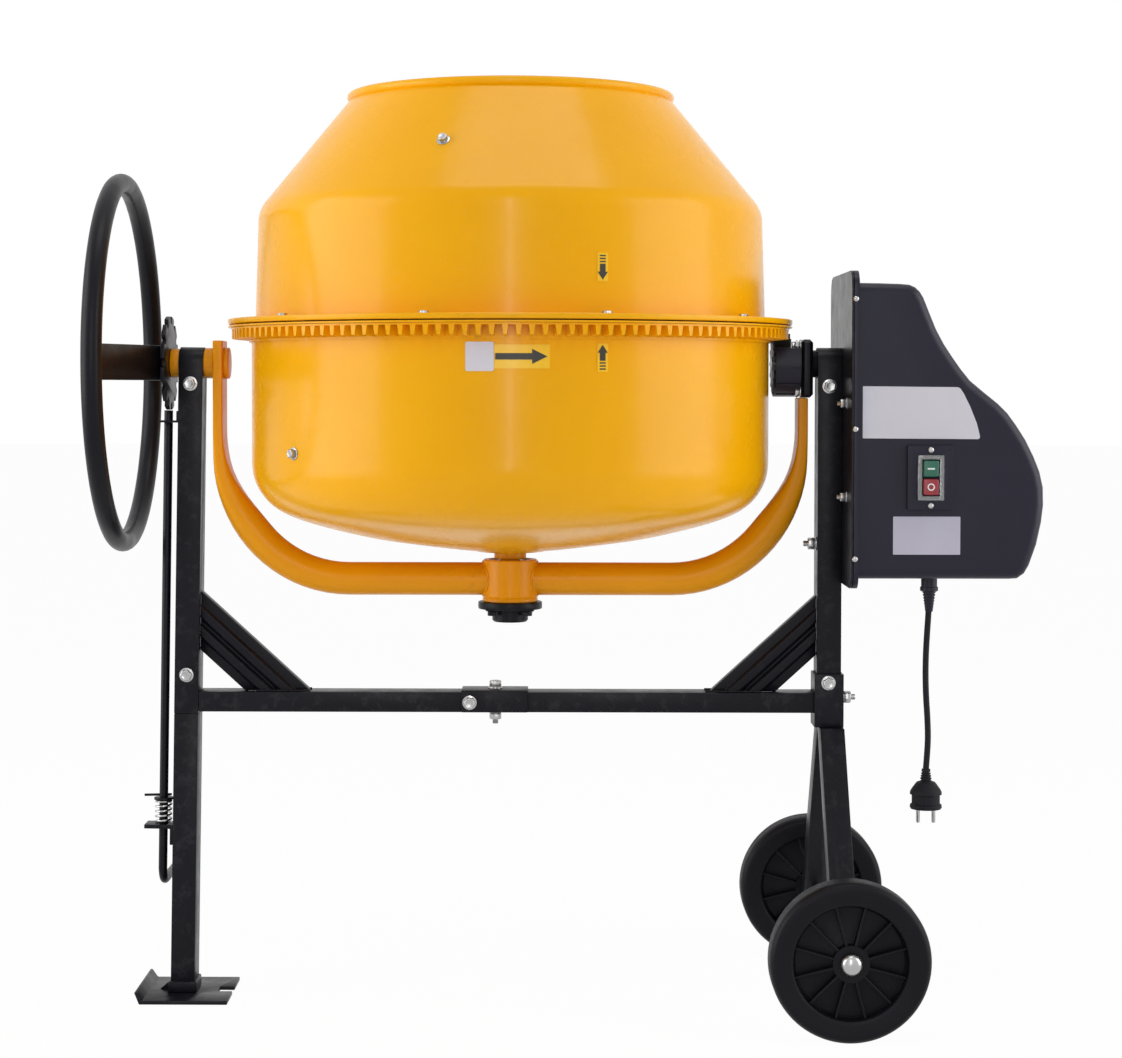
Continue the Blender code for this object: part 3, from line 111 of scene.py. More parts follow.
# Working steps that every piece goes through

def clearSelection():
    if bpy.context.object and bpy.context.object.mode != "OBJECT":
        bpy.ops.object.mode_set(mode="OBJECT")
    for each in list(bpy.context.selected_objects):
        each.select_set(False)


def pick(*pieces):
    clearSelection()
    for piece in pieces:
        piece.select_set(True)
    bpy.context.view_layer.objects.active = pieces[0]


def startEdit(piece, kind="FACE", action="SELECT"):
    pick(piece)
    bpy.ops.object.mode_set(mode="EDIT")
    bpy.ops.mesh.select_mode(type=kind)
    bpy.ops.mesh.select_all(action=action)


def endEdit():
    bpy.ops.object.mode_set(mode="OBJECT")


def selectWhere(piece, kind, test):
    startEdit(piece, kind, "DESELECT")
    endEdit()
    mesh = piece.data
    if kind == "FACE":
        for face in mesh.polygons:
            face.select = test(face)
    else:
        for edge in mesh.edges:
            ends = [mesh.vertices[i].co for i in edge.vertices]
            edge.select = test(ends[0], ends[1])
    bpy.ops.object.mode_set(mode="EDIT")


def tidyNormals(piece):
    startEdit(piece, "VERT")
    bpy.ops.mesh.remove_doubles(threshold=1e-6)
    bpy.ops.mesh.normals_make_consistent(inside=False)
    endEdit()


def settle(piece):
    pick(piece)
    bpy.ops.object.transform_apply(location=True, rotation=True, scale=True)
    return piece


def applyModifier(piece, kind, **values):
    modifier = piece.modifiers.new("shape", kind)
    for key, value in values.items():
        setattr(modifier, key, value)
    pick(piece)
    bpy.ops.object.modifier_apply(modifier=modifier.name)


def roundEdges(piece, width, segments=2, angle=30):
    applyModifier(piece, "BEVEL", width=width, segments=segments, limit_method="ANGLE",
                  angle_limit=math.radians(angle), miter_outer="MITER_ARC")


def latest(name):
    piece = bpy.context.object
    piece.name = piece.data.name = name
    return piece


def joined(name, pieces):
    pick(*pieces)
    bpy.ops.object.join()
    return latest(name)


def finished(piece, body, finishName, *nodes, smooth=32):
    pick(piece)
    bpy.ops.object.shade_smooth_by_angle(angle=math.radians(smooth))
    piece.data.materials.clear()
    piece.data.materials.append(finishes[finishName])
    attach(piece, body)
    if nodes:
        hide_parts(*nodes)
    return piece


def turned(name, profile, centre, axis="Z", steps=96):
    # profile holds (radius, distance along the axis); it is drawn point by point, then spun
    def place(point):
        radius, along = point
        if axis == "Z":
            return Vector((centre[0] + radius, centre[1], along))
        if axis == "X":
            return Vector((along, centre[1] + radius, centre[2]))
        return Vector((centre[0] + radius, along, centre[2]))

    points = [place(point) for point in profile]
    clearSelection()
    bpy.ops.mesh.primitive_plane_add(size=0.001, location=points[0])
    piece = settle(latest(name))
    startEdit(piece, "VERT")
    bpy.ops.mesh.merge(type="CENTER")
    for before, after in zip(points, points[1:]):
        bpy.ops.mesh.extrude_vertices_move(TRANSFORM_OT_translate={"value": after - before})
    bpy.ops.mesh.select_all(action="SELECT")
    direction = {"X": (1, 0, 0), "Y": (0, 1, 0), "Z": (0, 0, 1)}[axis]
    spinCentre = tuple(0.0 if axis == "XYZ"[i] else centre[i] for i in range(3))
    bpy.ops.mesh.spin(steps=steps, angle=2 * math.pi, center=spinCentre, axis=direction)
    endEdit()
    tidyNormals(piece)
    return piece


def outlined(name, points, fill="NGON"):
    # one flat face, or an open ring, with these corners
    clearSelection()
    bpy.ops.mesh.primitive_circle_add(vertices=len(points), radius=0.01, fill_type=fill)
    piece = latest(name)
    for vertex, point in zip(piece.data.vertices, points):
        vertex.co = point
    return piece


def slab(name, points, step):
    # an outline given thickness
    piece = outlined(name, points)
    startEdit(piece)
    bpy.ops.mesh.extrude_region_move(TRANSFORM_OT_translate={"value": step})
    endEdit()
    tidyNormals(piece)
    return piece


def block(name, first, second, rounding=0.0, segments=2):
    clearSelection()
    size = [abs(b - a) for a, b in zip(first, second)]
    centre = [(a + b) / 2 for a, b in zip(first, second)]
    bpy.ops.mesh.primitive_cube_add(size=1, location=centre, scale=size)
    piece = settle(latest(name))
    if rounding:
        roundEdges(piece, rounding, segments)
    return piece


def barrel(name, radius, first, second, sides=32, rounding=0.0):
    # a short round bar between two places
    clearSelection()
    first, second = Vector(first), Vector(second)
    run = second - first
    bpy.ops.mesh.primitive_cylinder_add(
        vertices=sides, radius=radius, depth=run.length, location=(first + second) / 2,
        rotation=run.to_track_quat("Z", "Y").to_euler())
    piece = settle(latest(name))
    if rounding:
        roundEdges(piece, rounding, 2, 50)
    return piece


def lofted(name, sections, closed=False):
    # circles laid along a route, each moved to its section, then bridged, and capped unless it closes
    piece = joined(name, [outlined(name, section, "NOTHING") for section in sections])
    startEdit(piece, "EDGE")
    bpy.ops.mesh.bridge_edge_loops(type="CLOSED" if closed else "SINGLE")
    if not closed:
        bpy.ops.mesh.select_all(action="DESELECT")
        bpy.ops.mesh.select_non_manifold()
        bpy.ops.mesh.edge_face_add()
    endEdit()
    tidyNormals(piece)
    return piece


def refined(node, rounding, segments=2, angle=40):
    # a merged copy of the model's own part, with its edges rounded; left_post becomes leftPost
    first, *rest = node.split("_")
    piece = bpy.data.objects.new(first + "".join(word.capitalize() for word in rest),
                                 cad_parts[node].data.copy())
    scene.collection.objects.link(piece)
    startEdit(piece, "VERT")
    bpy.ops.mesh.customdata_custom_splitnormals_clear()
    bpy.ops.mesh.remove_doubles(threshold=2e-5)
    bpy.ops.mesh.dissolve_limited(angle_limit=math.radians(1))
    endEdit()
    roundEdges(piece, rounding, segments, angle)
    return piece


def softened(node, body, finishName, rounding, segments=2, angle=40, smooth=32):
    return finished(refined(node, rounding, segments, angle), body, finishName, node, smooth=smooth)


def cutBy(piece, cutter):
    applyModifier(piece, "BOOLEAN", operation="DIFFERENCE", solver="EXACT", object=cutter)
    bpy.data.objects.remove(cutter)


def placed(template, name, place, toward, spin=0.0):
    # a copy with its own mesh, its top turned toward a direction
    clearSelection()
    piece = template.copy()
    piece.data = template.data.copy()
    piece.name = name
    scene.collection.objects.link(piece)
    turn = Vector(toward).to_track_quat("Z", "Y").to_matrix().to_4x4() @ Matrix.Rotation(spin, 4, "Z")
    piece.matrix_world = Matrix.Translation(Vector(place)) @ turn
    return settle(piece)


def arcPoints(centre, radius, start, end, steps):
    found = []
    for step in range(steps + 1):
        angle = math.radians(start + (end - start) * step / steps)
        found.append((centre[0] + radius * math.cos(angle), centre[1] + radius * math.sin(angle)))
    return found


def smoothLine(points, steps):
    places = [Vector(point) for point in points]
    padded = [2 * places[0] - places[1], *places, 2 * places[-1] - places[-2]]
    line = []
    for i in range(1, len(padded) - 2):
        a, b, c, d = padded[i - 1:i + 3]
        for step in range(steps):
            t = step / steps
            line.append(0.5 * ((2 * b) + (c - a) * t + (2 * a - 5 * b + 4 * c - d) * t * t
                               + (3 * b - a - 3 * c + d) * t ** 3))
    return [*line, places[-1]]


def wireTube(name, points, radius, sides=3):
    # a round bar along a route, made a mesh
    route = bpy.data.curves.new(name, "CURVE")
    route.dimensions = "3D"
    spline = route.splines.new("POLY")
    spline.points.add(len(points) - 1)
    for point, place in zip(spline.points, points):
        point.co = (*place, 1.0)
    route.bevel_depth = radius
    route.bevel_resolution = sides
    route.use_fill_caps = True
    piece = bpy.data.objects.new(name, route)
    scene.collection.objects.link(piece)
    pick(piece)
    bpy.ops.object.convert(target="MESH")
    piece = bpy.context.object
    tidyNormals(piece)
    return piece


# Finishes

def addNode(tree, kind, **values):
    made = tree.nodes.new(kind)
    for key, value in values.items():
        setattr(made, key, value)
    return made


def setSockets(made, **values):
    for key, value in values.items():
        made.inputs[key.replace("_", " ")].default_value = value


def scaleOf(tree, coordinates, scale, detail=4.0, roughness=0.5, stretch=None):
    noise = addNode(tree, "ShaderNodeTexNoise")
    setSockets(noise, Scale=scale, Detail=detail, Roughness=roughness)
    if stretch:
        mapping = addNode(tree, "ShaderNodeMapping")
        mapping.inputs["Scale"].default_value = stretch
        tree.links.new(coordinates, mapping.inputs["Vector"])
        tree.links.new(mapping.outputs["Vector"], noise.inputs["Vector"])
    else:
        tree.links.new(coordinates, noise.inputs["Vector"])
    return noise.outputs["Fac"]


def ranged(tree, value, fromLow, fromHigh, toLow, toHigh):
    made = addNode(tree, "ShaderNodeMapRange")
    for index, number in enumerate((fromLow, fromHigh, toLow, toHigh), 1):
        made.inputs[index].default_value = number
    tree.links.new(value, made.inputs[0])
    return made.outputs[0]


def mixed(tree, factor, first, second):
    mix = addNode(tree, "ShaderNodeMix", data_type="RGBA")
    for socket, colour in ((mix.inputs[6], first), (mix.inputs[7], second)):
        if isinstance(colour, tuple):
            socket.default_value = (*colour, 1.0)
        else:
            tree.links.new(colour, socket)
    tree.links.new(factor, mix.inputs[0])
    return mix.outputs[2]


def finish(name, colour, shade, roughness, roughSpread=0.06, grain=600.0, grainDepth=0.00003,
           wear=None, wearColour=(0.3, 0.3, 0.3), dust=None, stretch=None, **sockets):
    # colour drifts between colour and shade; roughness and a fine bump follow their own noise
    material = bpy.data.materials.new(name)
    material.use_nodes = True
    tree = material.node_tree
    shader = tree.nodes["Principled BSDF"]
    coordinates = addNode(tree, "ShaderNodeTexCoord").outputs["Object"]
    drift = ranged(tree, scaleOf(tree, coordinates, 9.0, 5.0, 0.6), 0.3, 0.7, 0.0, 1.0)
    base = mixed(tree, drift, colour, shade)
    fine = scaleOf(tree, coordinates, grain, 3.0, 0.55, stretch)
    rough = ranged(tree, scaleOf(tree, coordinates, 38.0, 6.0, 0.65), 0.3, 0.7,
                   roughness - roughSpread, roughness + roughSpread)
    if dust:
        speck = ranged(tree, scaleOf(tree, coordinates, 55.0, 10.0, 0.75), 0.6, 0.78, 0.0, dust[1])
        base = mixed(tree, speck, base, dust[0])
    if wear:
        geometry = addNode(tree, "ShaderNodeNewGeometry")
        edge = ranged(tree, geometry.outputs["Pointiness"], wear[0], wear[1], 0.0, 1.0)
        patch = ranged(tree, scaleOf(tree, coordinates, 70.0, 8.0, 0.7), 0.52, 0.62, 0.0, wear[2])
        both = addNode(tree, "ShaderNodeMath", operation="MULTIPLY")
        tree.links.new(edge, both.inputs[0])
        tree.links.new(patch, both.inputs[1])
        base = mixed(tree, both.outputs[0], base, wearColour)
    tree.links.new(base, shader.inputs["Base Color"])
    tree.links.new(rough, shader.inputs["Roughness"])
    bump = addNode(tree, "ShaderNodeBump")
    setSockets(bump, Strength=0.6, Distance=grainDepth)
    tree.links.new(fine, bump.inputs["Height"])
    tree.links.new(bump.outputs["Normal"], shader.inputs["Normal"])
    setSockets(shader, **sockets)
    return material


def linear(red, green, blue):
    def one(value):
        value /= 255
        return value / 12.92 if value <= 0.04045 else ((value + 0.055) / 1.055) ** 2.4
    return (one(red), one(green), one(blue))


edgeWear = (0.53, 0.6, 0.3)
finishes = {
    "yellow": finish(
        "glossYellowEnamel", (0.92, 0.436, 0.001), (0.89, 0.408, 0.001), 0.25, 0.05, 420.0, 0.00004,
        wear=edgeWear, wearColour=linear(170, 120, 20), dust=(linear(226, 160, 16), 0.25),
        Coat_Weight=0.05, Coat_Roughness=0.1, Specular_IOR_Level=0.17),
    "orange": finish(
        "yokeEnamel", (0.84, 0.34, 0.003), (0.78, 0.305, 0.002), 0.34, 0.06, 380.0, 0.00005,
        wear=edgeWear, wearColour=linear(150, 100, 20), dust=(linear(212, 142, 16), 0.3),
        Coat_Weight=0.05, Coat_Roughness=0.2, Specular_IOR_Level=0.17),
    "blackPaint": finish(
        "satinBlackPowderCoat", linear(12, 12, 19), linear(17, 17, 25), 0.36, 0.07, 750.0, 0.00005,
        wear=edgeWear, wearColour=linear(70, 70, 74), dust=(linear(34, 34, 42), 0.4),
        Specular_IOR_Level=0.15),
    "glossBlack": finish(
        "glossBlackEnamel", linear(14, 15, 24), linear(18, 19, 29), 0.32, 0.05, 600.0, 0.00003,
        wear=edgeWear, wearColour=linear(70, 70, 74), dust=(linear(34, 34, 40), 0.3),
        Specular_IOR_Level=0.2),
    "blackPlastic": finish(
        "grainedCharcoalPlastic", linear(20, 18, 35), linear(24, 22, 39), 0.38, 0.05, 1300.0, 0.00006,
        dust=(linear(44, 42, 56), 0.3), Specular_IOR_Level=0.27),
    "wheelPlastic": finish(
        "mouldedBlackPlastic", linear(12, 12, 18), linear(17, 17, 23), 0.44, 0.07, 900.0, 0.00006,
        dust=(linear(34, 34, 40), 0.4), Specular_IOR_Level=0.13),
    "rubber": finish(
        "blackRubber", linear(18, 18, 24), linear(24, 24, 30), 0.62, 0.08, 1100.0, 0.00006,
        dust=(linear(42, 41, 44), 0.4), Specular_IOR_Level=0.18),
    "zinc": finish(
        "brightZinc", (0.47, 0.47, 0.46), (0.37, 0.37, 0.38), 0.28, 0.08, 500.0, 0.00004,
        dust=((0.3, 0.29, 0.27), 0.4), Metallic=1.0),
    "bearing": finish(
        "groundBearingSteel", (0.46, 0.46, 0.46), (0.38, 0.38, 0.39), 0.24, 0.06, 300.0, 0.00003,
        stretch=(1, 1, 9), Metallic=1.0),
    "iron": finish(
        "greasyCastIron", (0.06, 0.057, 0.054), (0.034, 0.032, 0.03), 0.46, 0.12, 260.0, 0.0002,
        Metallic=0.5, Coat_Weight=0.3, Coat_Roughness=0.3),
    "aluminium": finish(
        "dieCastAluminium", (0.52, 0.52, 0.52), (0.42, 0.42, 0.42), 0.44, 0.08, 420.0, 0.0001,
        Metallic=1.0),
    "nylon": finish(
        "naturalNylon", linear(222, 218, 206), linear(210, 205, 190), 0.48, 0.05, 500.0, 0.00004,
        Subsurface_Weight=0.1, Subsurface_Radius=(0.004, 0.004, 0.003)),
    "green": finish(
        "greenButton", linear(34, 100, 80), linear(30, 92, 73), 0.34, 0.05, 700.0, 0.00004),
    "red": finish(
        "redButton", linear(152, 44, 54), linear(142, 38, 48), 0.34, 0.05, 700.0, 0.00004),
    "clear": finish(
        "clearFlap", (0.82, 0.84, 0.84), (0.78, 0.8, 0.8), 0.12, 0.04, 500.0, 0.00003,
        Transmission_Weight=0.85, IOR=1.49),
    "label": finish(
        "whiteVinyl", linear(214, 212, 221), linear(206, 204, 214), 0.36, 0.05, 240.0, 0.00003,
        Coat_Weight=0.1, Coat_Roughness=0.25),
    "plate": finish(
        "silverPlate", linear(190, 187, 203), linear(180, 177, 194), 0.34, 0.05, 240.0, 0.00003,
        Coat_Weight=0.1, Coat_Roughness=0.25),
    "decal": finish(
        "brightYellowVinyl", linear(250, 200, 20), linear(246, 192, 14), 0.3, 0.05, 300.0, 0.00003),
    "ink": finish(
        "blackPrint", linear(26, 22, 14), linear(34, 29, 18), 0.42, 0.05, 400.0, 0.00002),
    "whitePrint": finish(
        "whitePrint", linear(232, 236, 234), linear(222, 228, 226), 0.4, 0.05, 400.0, 0.00002),
}
finishes["drumLabel"] = finishes["label"]
makeCamera()


# The lead: one short flex from the gland under the motor cover to its plug

leadValues = {
    "diameter": 0.0075,
    "steps": (
        (0.0, 0.0, 0.0003), (-0.0005, 0.0, 0.022), (-0.002, 0.0005, 0.048), (-0.0032, 0.001, 0.074),
        (-0.0035, 0.001, 0.1), (-0.0028, 0.0005, 0.126), (-0.0012, 0.0, 0.152),
        (-0.0004, -0.0003, 0.176), (-0.0012, -0.0002, 0.196), (-0.0025, 0.0, 0.2149),
    ),
    "reliefLength": 0.022,
}


def makeLead():
    gland = middle("cord_gland")
    start = Vector((gland.x, gland.y, low("cord_gland").z))
    route = smoothLine([start + Vector((x, y, -drop)) for x, y, drop in leadValues["steps"]], 3)
    lead = wireTube("powerLead", route, leadValues["diameter"] / 2, 6)
    finished(lead, "frame", "rubber", "power_cord")

    # screwed gland, then a ribbed relief that narrows down the flex
    top, wide = high("cord_gland").z, 0.0098
    reliefTop, reliefBottom = start.z + 0.003, start.z - leadValues["reliefLength"]
    profile = [(0.0, top), (wide, top), (wide, start.z + 0.0088), (0.011, start.z + 0.0084),
               (0.011, start.z + 0.004), (0.0096, reliefTop)]
    flex, widest, rings = leadValues["diameter"] / 2, 0.0082, 7
    for ring in range(rings):
        for part, proud in ((0.0, 0.0), (0.55, 0.0), (0.6, -0.0011), (0.95, -0.0011)):
            share = (ring + part) / rings
            radius = widest + (flex + 0.0008 - widest) * share + proud * (1 - share)
            profile.append((radius, reliefTop + (reliefBottom - reliefTop) * share))
    profile += [(flex + 0.0004, reliefBottom), (0.0, reliefBottom)]
    relief = turned("leadGland", profile, (start.x, start.y, 0), "Z", 32)
    finished(relief, "frame", "blackPlastic", "cord_gland", smooth=40)

    # moulded plug: a grooved neck, a flared body with finger grips, two round pins
    plugTop = high("plug").z
    end = route[-1]
    shoulder, belly, face = plugTop - 0.015, plugTop - 0.027, plugTop - 0.049
    neck = [(0.0, plugTop), (0.0052, plugTop)]
    for ring in range(4):
        height = plugTop - 0.002 - 0.003 * ring
        proud, sunk = 0.0054 + 0.0005 * ring, 0.0044 + 0.0005 * ring
        neck += [(proud, height), (proud, height - 0.0015), (sunk, height - 0.0018), (sunk, height - 0.0027)]
    neck += [(0.0078, shoulder), (0.0112, shoulder - 0.0012), (0.0132, shoulder - 0.0036),
             (0.0178, belly + 0.002), (0.0192, belly - 0.0008), (0.0195, belly - 0.004),
             (0.0172, belly - 0.0052), (0.0172, face + 0.0065), (0.0192, face + 0.0052),
             (0.0196, face + 0.002), (0.0184, face), (0.0, face)]
    body = turned("plugBody", neck, (end.x, end.y, 0), "Z", 40)
    finished(body, "frame", "rubber", "plug", smooth=38)
    pins = []
    bottom = low("plug").z
    for side in (-1, 1):
        line = [(0.0, face + 0.003), (0.0024, face + 0.003), (0.0024, bottom + 0.0014),
                (0.0019, bottom + 0.0004), (0.0012, bottom), (0.0, bottom)]
        pins.append(turned("plugPin", line, (end.x + side * 0.0095, end.y, 0), "Z", 20))
    pins = joined("plugPins", pins)
    finished(pins, "frame", "zinc")


makeLead()


# Fasteners: each kind is modelled once, and copied to its places

def hexHead(across, tall, washer):
    clearSelection()
    wide, thick = washer
    bpy.ops.mesh.primitive_cylinder_add(vertices=6, radius=across / math.sqrt(3), depth=tall,
                                        location=(0, 0, thick + tall / 2))
    head = settle(bpy.context.object)
    selectWhere(head, "FACE", lambda face: face.normal.z > 0.9)
    for inset, rise in ((0.07, 0.1), (0.1, -0.06)):
        bpy.ops.mesh.inset(thickness=across * inset)
        bpy.ops.transform.translate(value=(0, 0, tall * rise))
    endEdit()
    roundEdges(head, across * 0.02, 1, 40)
    ring = barrel("washer", wide, (0, 0, 0), (0, 0, thick), 32, thick * 0.3)
    return joined("hexHead", [head, ring])


def nutWithTip(across, tall, washer, tip):
    nut = hexHead(across, tall, washer)
    end = washer[1] + tall * 1.04
    turns = [(0.0, end - 0.001)]
    radius = across * 0.29
    for step in range(int(tip / 0.001)):
        turns += [(radius, end + step * 0.001), (radius * 0.9, end + step * 0.001 + 0.0005)]
    turns += [(radius * 0.8, end + tip), (0.0, end + tip)]
    stub = turned("tip", turns, (0, 0, 0), "Z", 20)
    return joined("nutWithTip", [nut, stub])


def panHead(radius, tall):
    # a low round head with a crossed recess
    profile = [(0.0, 0.0), (radius, 0.0), (radius, tall * 0.35), (radius * 0.82, tall * 0.75),
               (radius * 0.45, tall), (0.0, tall)]
    head = turned("panHead", profile, (0, 0, 0), "Z", 24)
    for x, y in ((radius * 0.55, radius * 0.11), (radius * 0.11, radius * 0.55)):
        cross = block("cross", (-x, -y, tall * 0.45), (x, y, tall * 2))
        cutBy(head, cross)
    return head


largeHex = hexHead(0.013, 0.0075, (0.009, 0.0018))
mediumHex = hexHead(0.01, 0.0055, (0.0078, 0.0014))
largeNut = nutWithTip(0.013, 0.0085, (0.0088, 0.0016), 0.006)
mediumNut = nutWithTip(0.01, 0.0065, (0.0074, 0.0014), 0.004)
smallScrew = panHead(0.0036, 0.0024)
templates = [largeHex, mediumHex, largeNut, mediumNut, smallScrew]


def fastened(name, template, places, body, finishName="zinc"):
    copies = [placed(template, f"{name}{number}", place, toward, 0.4 + 1.3 * number)
              for number, (place, toward) in enumerate(places)]
    return finished(joined(name, copies), body, finishName, smooth=35)


# The drum: pressed bowl, ring gear, cone, and the bolts that hold them together

drumValues = {
    "sheet": 0.0022,
    "wall": 0.321,
    "bowlCorner": (
        (0.321, 0.11), (0.3194, 0.0965), (0.3148, 0.083), (0.3062, 0.069), (0.2935, 0.0565),
        (0.274, 0.0455), (0.245, 0.0355), (0.205, 0.025), (0.161, 0.0158), (0.086, 0.0052),
        (0.06, 0.0022),
    ),
    "dish": -0.0035,
    "flange": 0.35,
    "coneWall": 0.316,
    "shoulder": 0.3125,
    "shoulderRise": 0.141,
    "shoulderBend": 0.04,
    "neck": 0.198,
    "neckRise": 0.276,
    "bead": 0.0055,
    "lip": 0.0065,
    "spindle": 0.0128,
    "steps": 144,
    "bolts": 10,
    "boltCircle": 0.333,
}


def bowlLine(inset):
    # the outside of the pressed bowl from wall to floor, moved inward by the sheet for the inside
    line = smoothLine([(radius, rise, 0.0) for radius, rise in drumValues["bowlCorner"]], 3)
    found = []
    for i, point in enumerate(line):
        run = line[min(i + 1, len(line) - 1)] - line[max(i - 1, 0)]
        across = Vector((run.y, -run.x, 0.0)).normalized() * inset
        found.append((point.x + across.x, bowlFloor + point.y + across.y))
    # a shallow pressed dish round the spindle
    drop = bowlFloor + drumValues["dish"] + inset
    return found + [(0.046, drop + 0.0042), (0.042, drop + 0.003), (drumValues["spindle"], drop)]


def makeBowl():
    v = drumValues
    wall, flange = v["wall"], v["flange"]
    top, bottom, skin = high("drum_bowl").z, high("drum_bowl").z - v["sheet"], 0.0006
    profile = [(wall - v["sheet"], top), (flange - skin, top), (flange, top - skin), (flange, bottom + skin),
               (flange - skin, bottom), (wall + 0.003, bottom), (wall + 0.001, bottom - 0.0008),
               (wall, bottom - 0.003), (wall, bottom - 0.005), (wall, bowlFloor + 0.118),
               *bowlLine(0.0), *bowlLine(v["sheet"])[::-1]]
    profile.append(profile[0])
    bowl = turned("drumBowl", profile, (drumAxis, 0, 0), "Z", v["steps"])
    finished(bowl, "drum", "yellow", "drum_bowl")


def coneLine(inset):
    v = drumValues
    slope = math.atan2(v["neckRise"] - v["shoulderRise"], v["shoulder"] - v["neck"])
    turn = math.pi / 2 - slope
    centre = (v["shoulder"] - v["shoulderBend"],
              seamHeight + v["shoulderRise"] - v["shoulderBend"] * math.tan(turn / 2))
    bend = arcPoints(centre, v["shoulderBend"] - inset, 0.0, math.degrees(turn), 12)
    # close rings beside the bend keep the straight walls flat
    below = (bend[0][0] + 0.0001, bend[0][1] - 0.005)
    above = (bend[-1][0] - 0.005 * math.cos(slope), bend[-1][1] + 0.005 * math.sin(slope))
    return [below, *bend, above]


def makeCone():
    v = drumValues
    neck = seamHeight + v["neckRise"]
    slope = math.atan2(v["neckRise"] - v["shoulderRise"], v["shoulder"] - v["neck"])
    innerNeck = (v["neck"] - math.sin(slope) * v["sheet"], neck - math.cos(slope) * v["sheet"])
    bead = arcPoints((v["neck"] - 0.0005, neck + v["bead"]), v["bead"], -60, 210, 16)
    lipTop = seamHeight + v["lip"]
    flange, sheet, wall = v["flange"], v["sheet"], v["coneWall"]
    flangeTop = seamHeight + sheet
    profile = [
        (flange - 0.0015, seamHeight), (wall - sheet, seamHeight), *coneLine(sheet), innerNeck,
        *bead[::-1], *coneLine(0.0)[::-1], (wall, flangeTop + 0.006), (wall, flangeTop + 0.004),
        (wall + 0.0012, flangeTop + 0.0012), (wall + 0.004, flangeTop),
        (flange - sheet - 0.0016, flangeTop), (flange - sheet, flangeTop + 0.0016),
        (flange - sheet, lipTop - 0.0007), (flange - sheet + 0.0007, lipTop), (flange - 0.0007, lipTop),
        (flange, lipTop - 0.0007), (flange, seamHeight + 0.0015), (flange - 0.0006, seamHeight + 0.0005),
    ]
    profile.append(profile[0])
    cone = turned("drumCone", profile, (drumAxis, 0, 0), "Z", v["steps"])
    finished(cone, "drum", "yellow", "drum_cone")


def fromAxis(radius, degrees, height):
    angle = math.radians(degrees)
    return Vector((drumAxis + radius * math.cos(angle), radius * math.sin(angle), height))


def outward(degrees, rise=0.0):
    angle = math.radians(degrees)
    return Vector((math.cos(angle), math.sin(angle), rise))


bladeBolts = {"lowAngle": -141.0, "lowRise": -0.1545, "highAngle": -106.4, "highRise": 0.2065}


def makeDrumFastenings():
    v = drumValues
    flangeTop = seamHeight + v["sheet"]
    places = [(fromAxis(v["boltCircle"], 360 / v["bolts"] * number - 70, flangeTop), (0, 0, 1))
              for number in range(v["bolts"])]
    fastened("flangeBolts", mediumHex, places, "drum")
    slope = (v["shoulder"] - v["neck"]) / (v["neckRise"] - v["shoulderRise"])
    highRadius = v["shoulder"] - slope * (bladeBolts["highRise"] - v["shoulderRise"]) + 0.0008
    heads, nuts = [], []
    lowZ, highZ = seamHeight + bladeBolts["lowRise"], seamHeight + bladeBolts["highRise"]
    for half in (0, 180):
        lowAngle, highAngle = bladeBolts["lowAngle"] + half, bladeBolts["highAngle"] + half
        heads.append((fromAxis(v["wall"] - 0.0002, lowAngle, lowZ), outward(lowAngle)))
        heads.append((fromAxis(highRadius, highAngle, highZ), outward(highAngle, slope)))
        nuts.append((fromAxis(v["wall"] - 0.0079, lowAngle, lowZ), -outward(lowAngle)))
        nuts.append((fromAxis(highRadius - 0.0092, highAngle, highZ - 0.0006), -outward(highAngle, slope)))
    fastened("bladeBolts", mediumHex, heads, "drum")
    fastened("bladeNuts", mediumNut, nuts, "drum")


def makeDrum():
    makeBowl()
    makeCone()
    softened("ring_gear", "drum", "yellow", 0.0004, 1, 50, 30)
    softened("mixing_blade_a", "drum", "yellow", 0.0009)
    softened("mixing_blade_b", "drum", "yellow", 0.0009)
    softened("drum_spindle", "drum", "orange", 0.0008, 2, 50)
    makeDrumFastenings()
    print("drum")


makeDrum()


# Marks on the drum: strips of vinyl that follow its wall

markValues = {"lift": 0.00035, "thick": 0.00025, "inkLift": 0.0003, "cornerRadius": 0.0008}


def wrapped(name, outline, target, finishName, lift=0.0):
    # a flat outline in front of the drum, cut in columns, pressed on to the wall, given thickness
    piece = outlined(name, [Vector((x, -0.5, z)) for x, z in outline])
    left, right = min(x for x, z in outline), max(x for x, z in outline)
    startEdit(piece)
    columns = max(2, int((right - left) / 0.004))
    for column in range(1, columns):
        bpy.ops.mesh.select_all(action="SELECT")
        bpy.ops.mesh.bisect(plane_co=(left + (right - left) * column / columns, 0, 0), plane_no=(1, 0, 0))
    endEdit()
    tidyNormals(piece)
    applyModifier(piece, "SHRINKWRAP", target=target, wrap_method="PROJECT", use_project_y=True,
                  use_positive_direction=True, use_negative_direction=False,
                  wrap_mode="ABOVE_SURFACE", offset=markValues["lift"] + lift)
    startEdit(piece)
    bpy.ops.mesh.normals_make_consistent(inside=False)
    endEdit()
    if sum(face.normal.y * face.area for face in piece.data.polygons) > 0:
        startEdit(piece)
        bpy.ops.mesh.flip_normals()
        endEdit()
    applyModifier(piece, "SOLIDIFY", thickness=markValues["thick"], offset=1.0)
    return finished(piece, "drum", finishName, smooth=30)


def rounded(first, second, radius, steps=4):
    # a rectangle between two corners, its own corners rounded
    left, right = first[0] + radius, second[0] - radius
    bottom, top = first[1] + radius, second[1] - radius
    points = []
    for turn, centre in enumerate(((right, top), (left, top), (left, bottom), (right, bottom))):
        points += arcPoints(centre, radius, 90 * turn, 90 * turn + 90, steps)
    return points


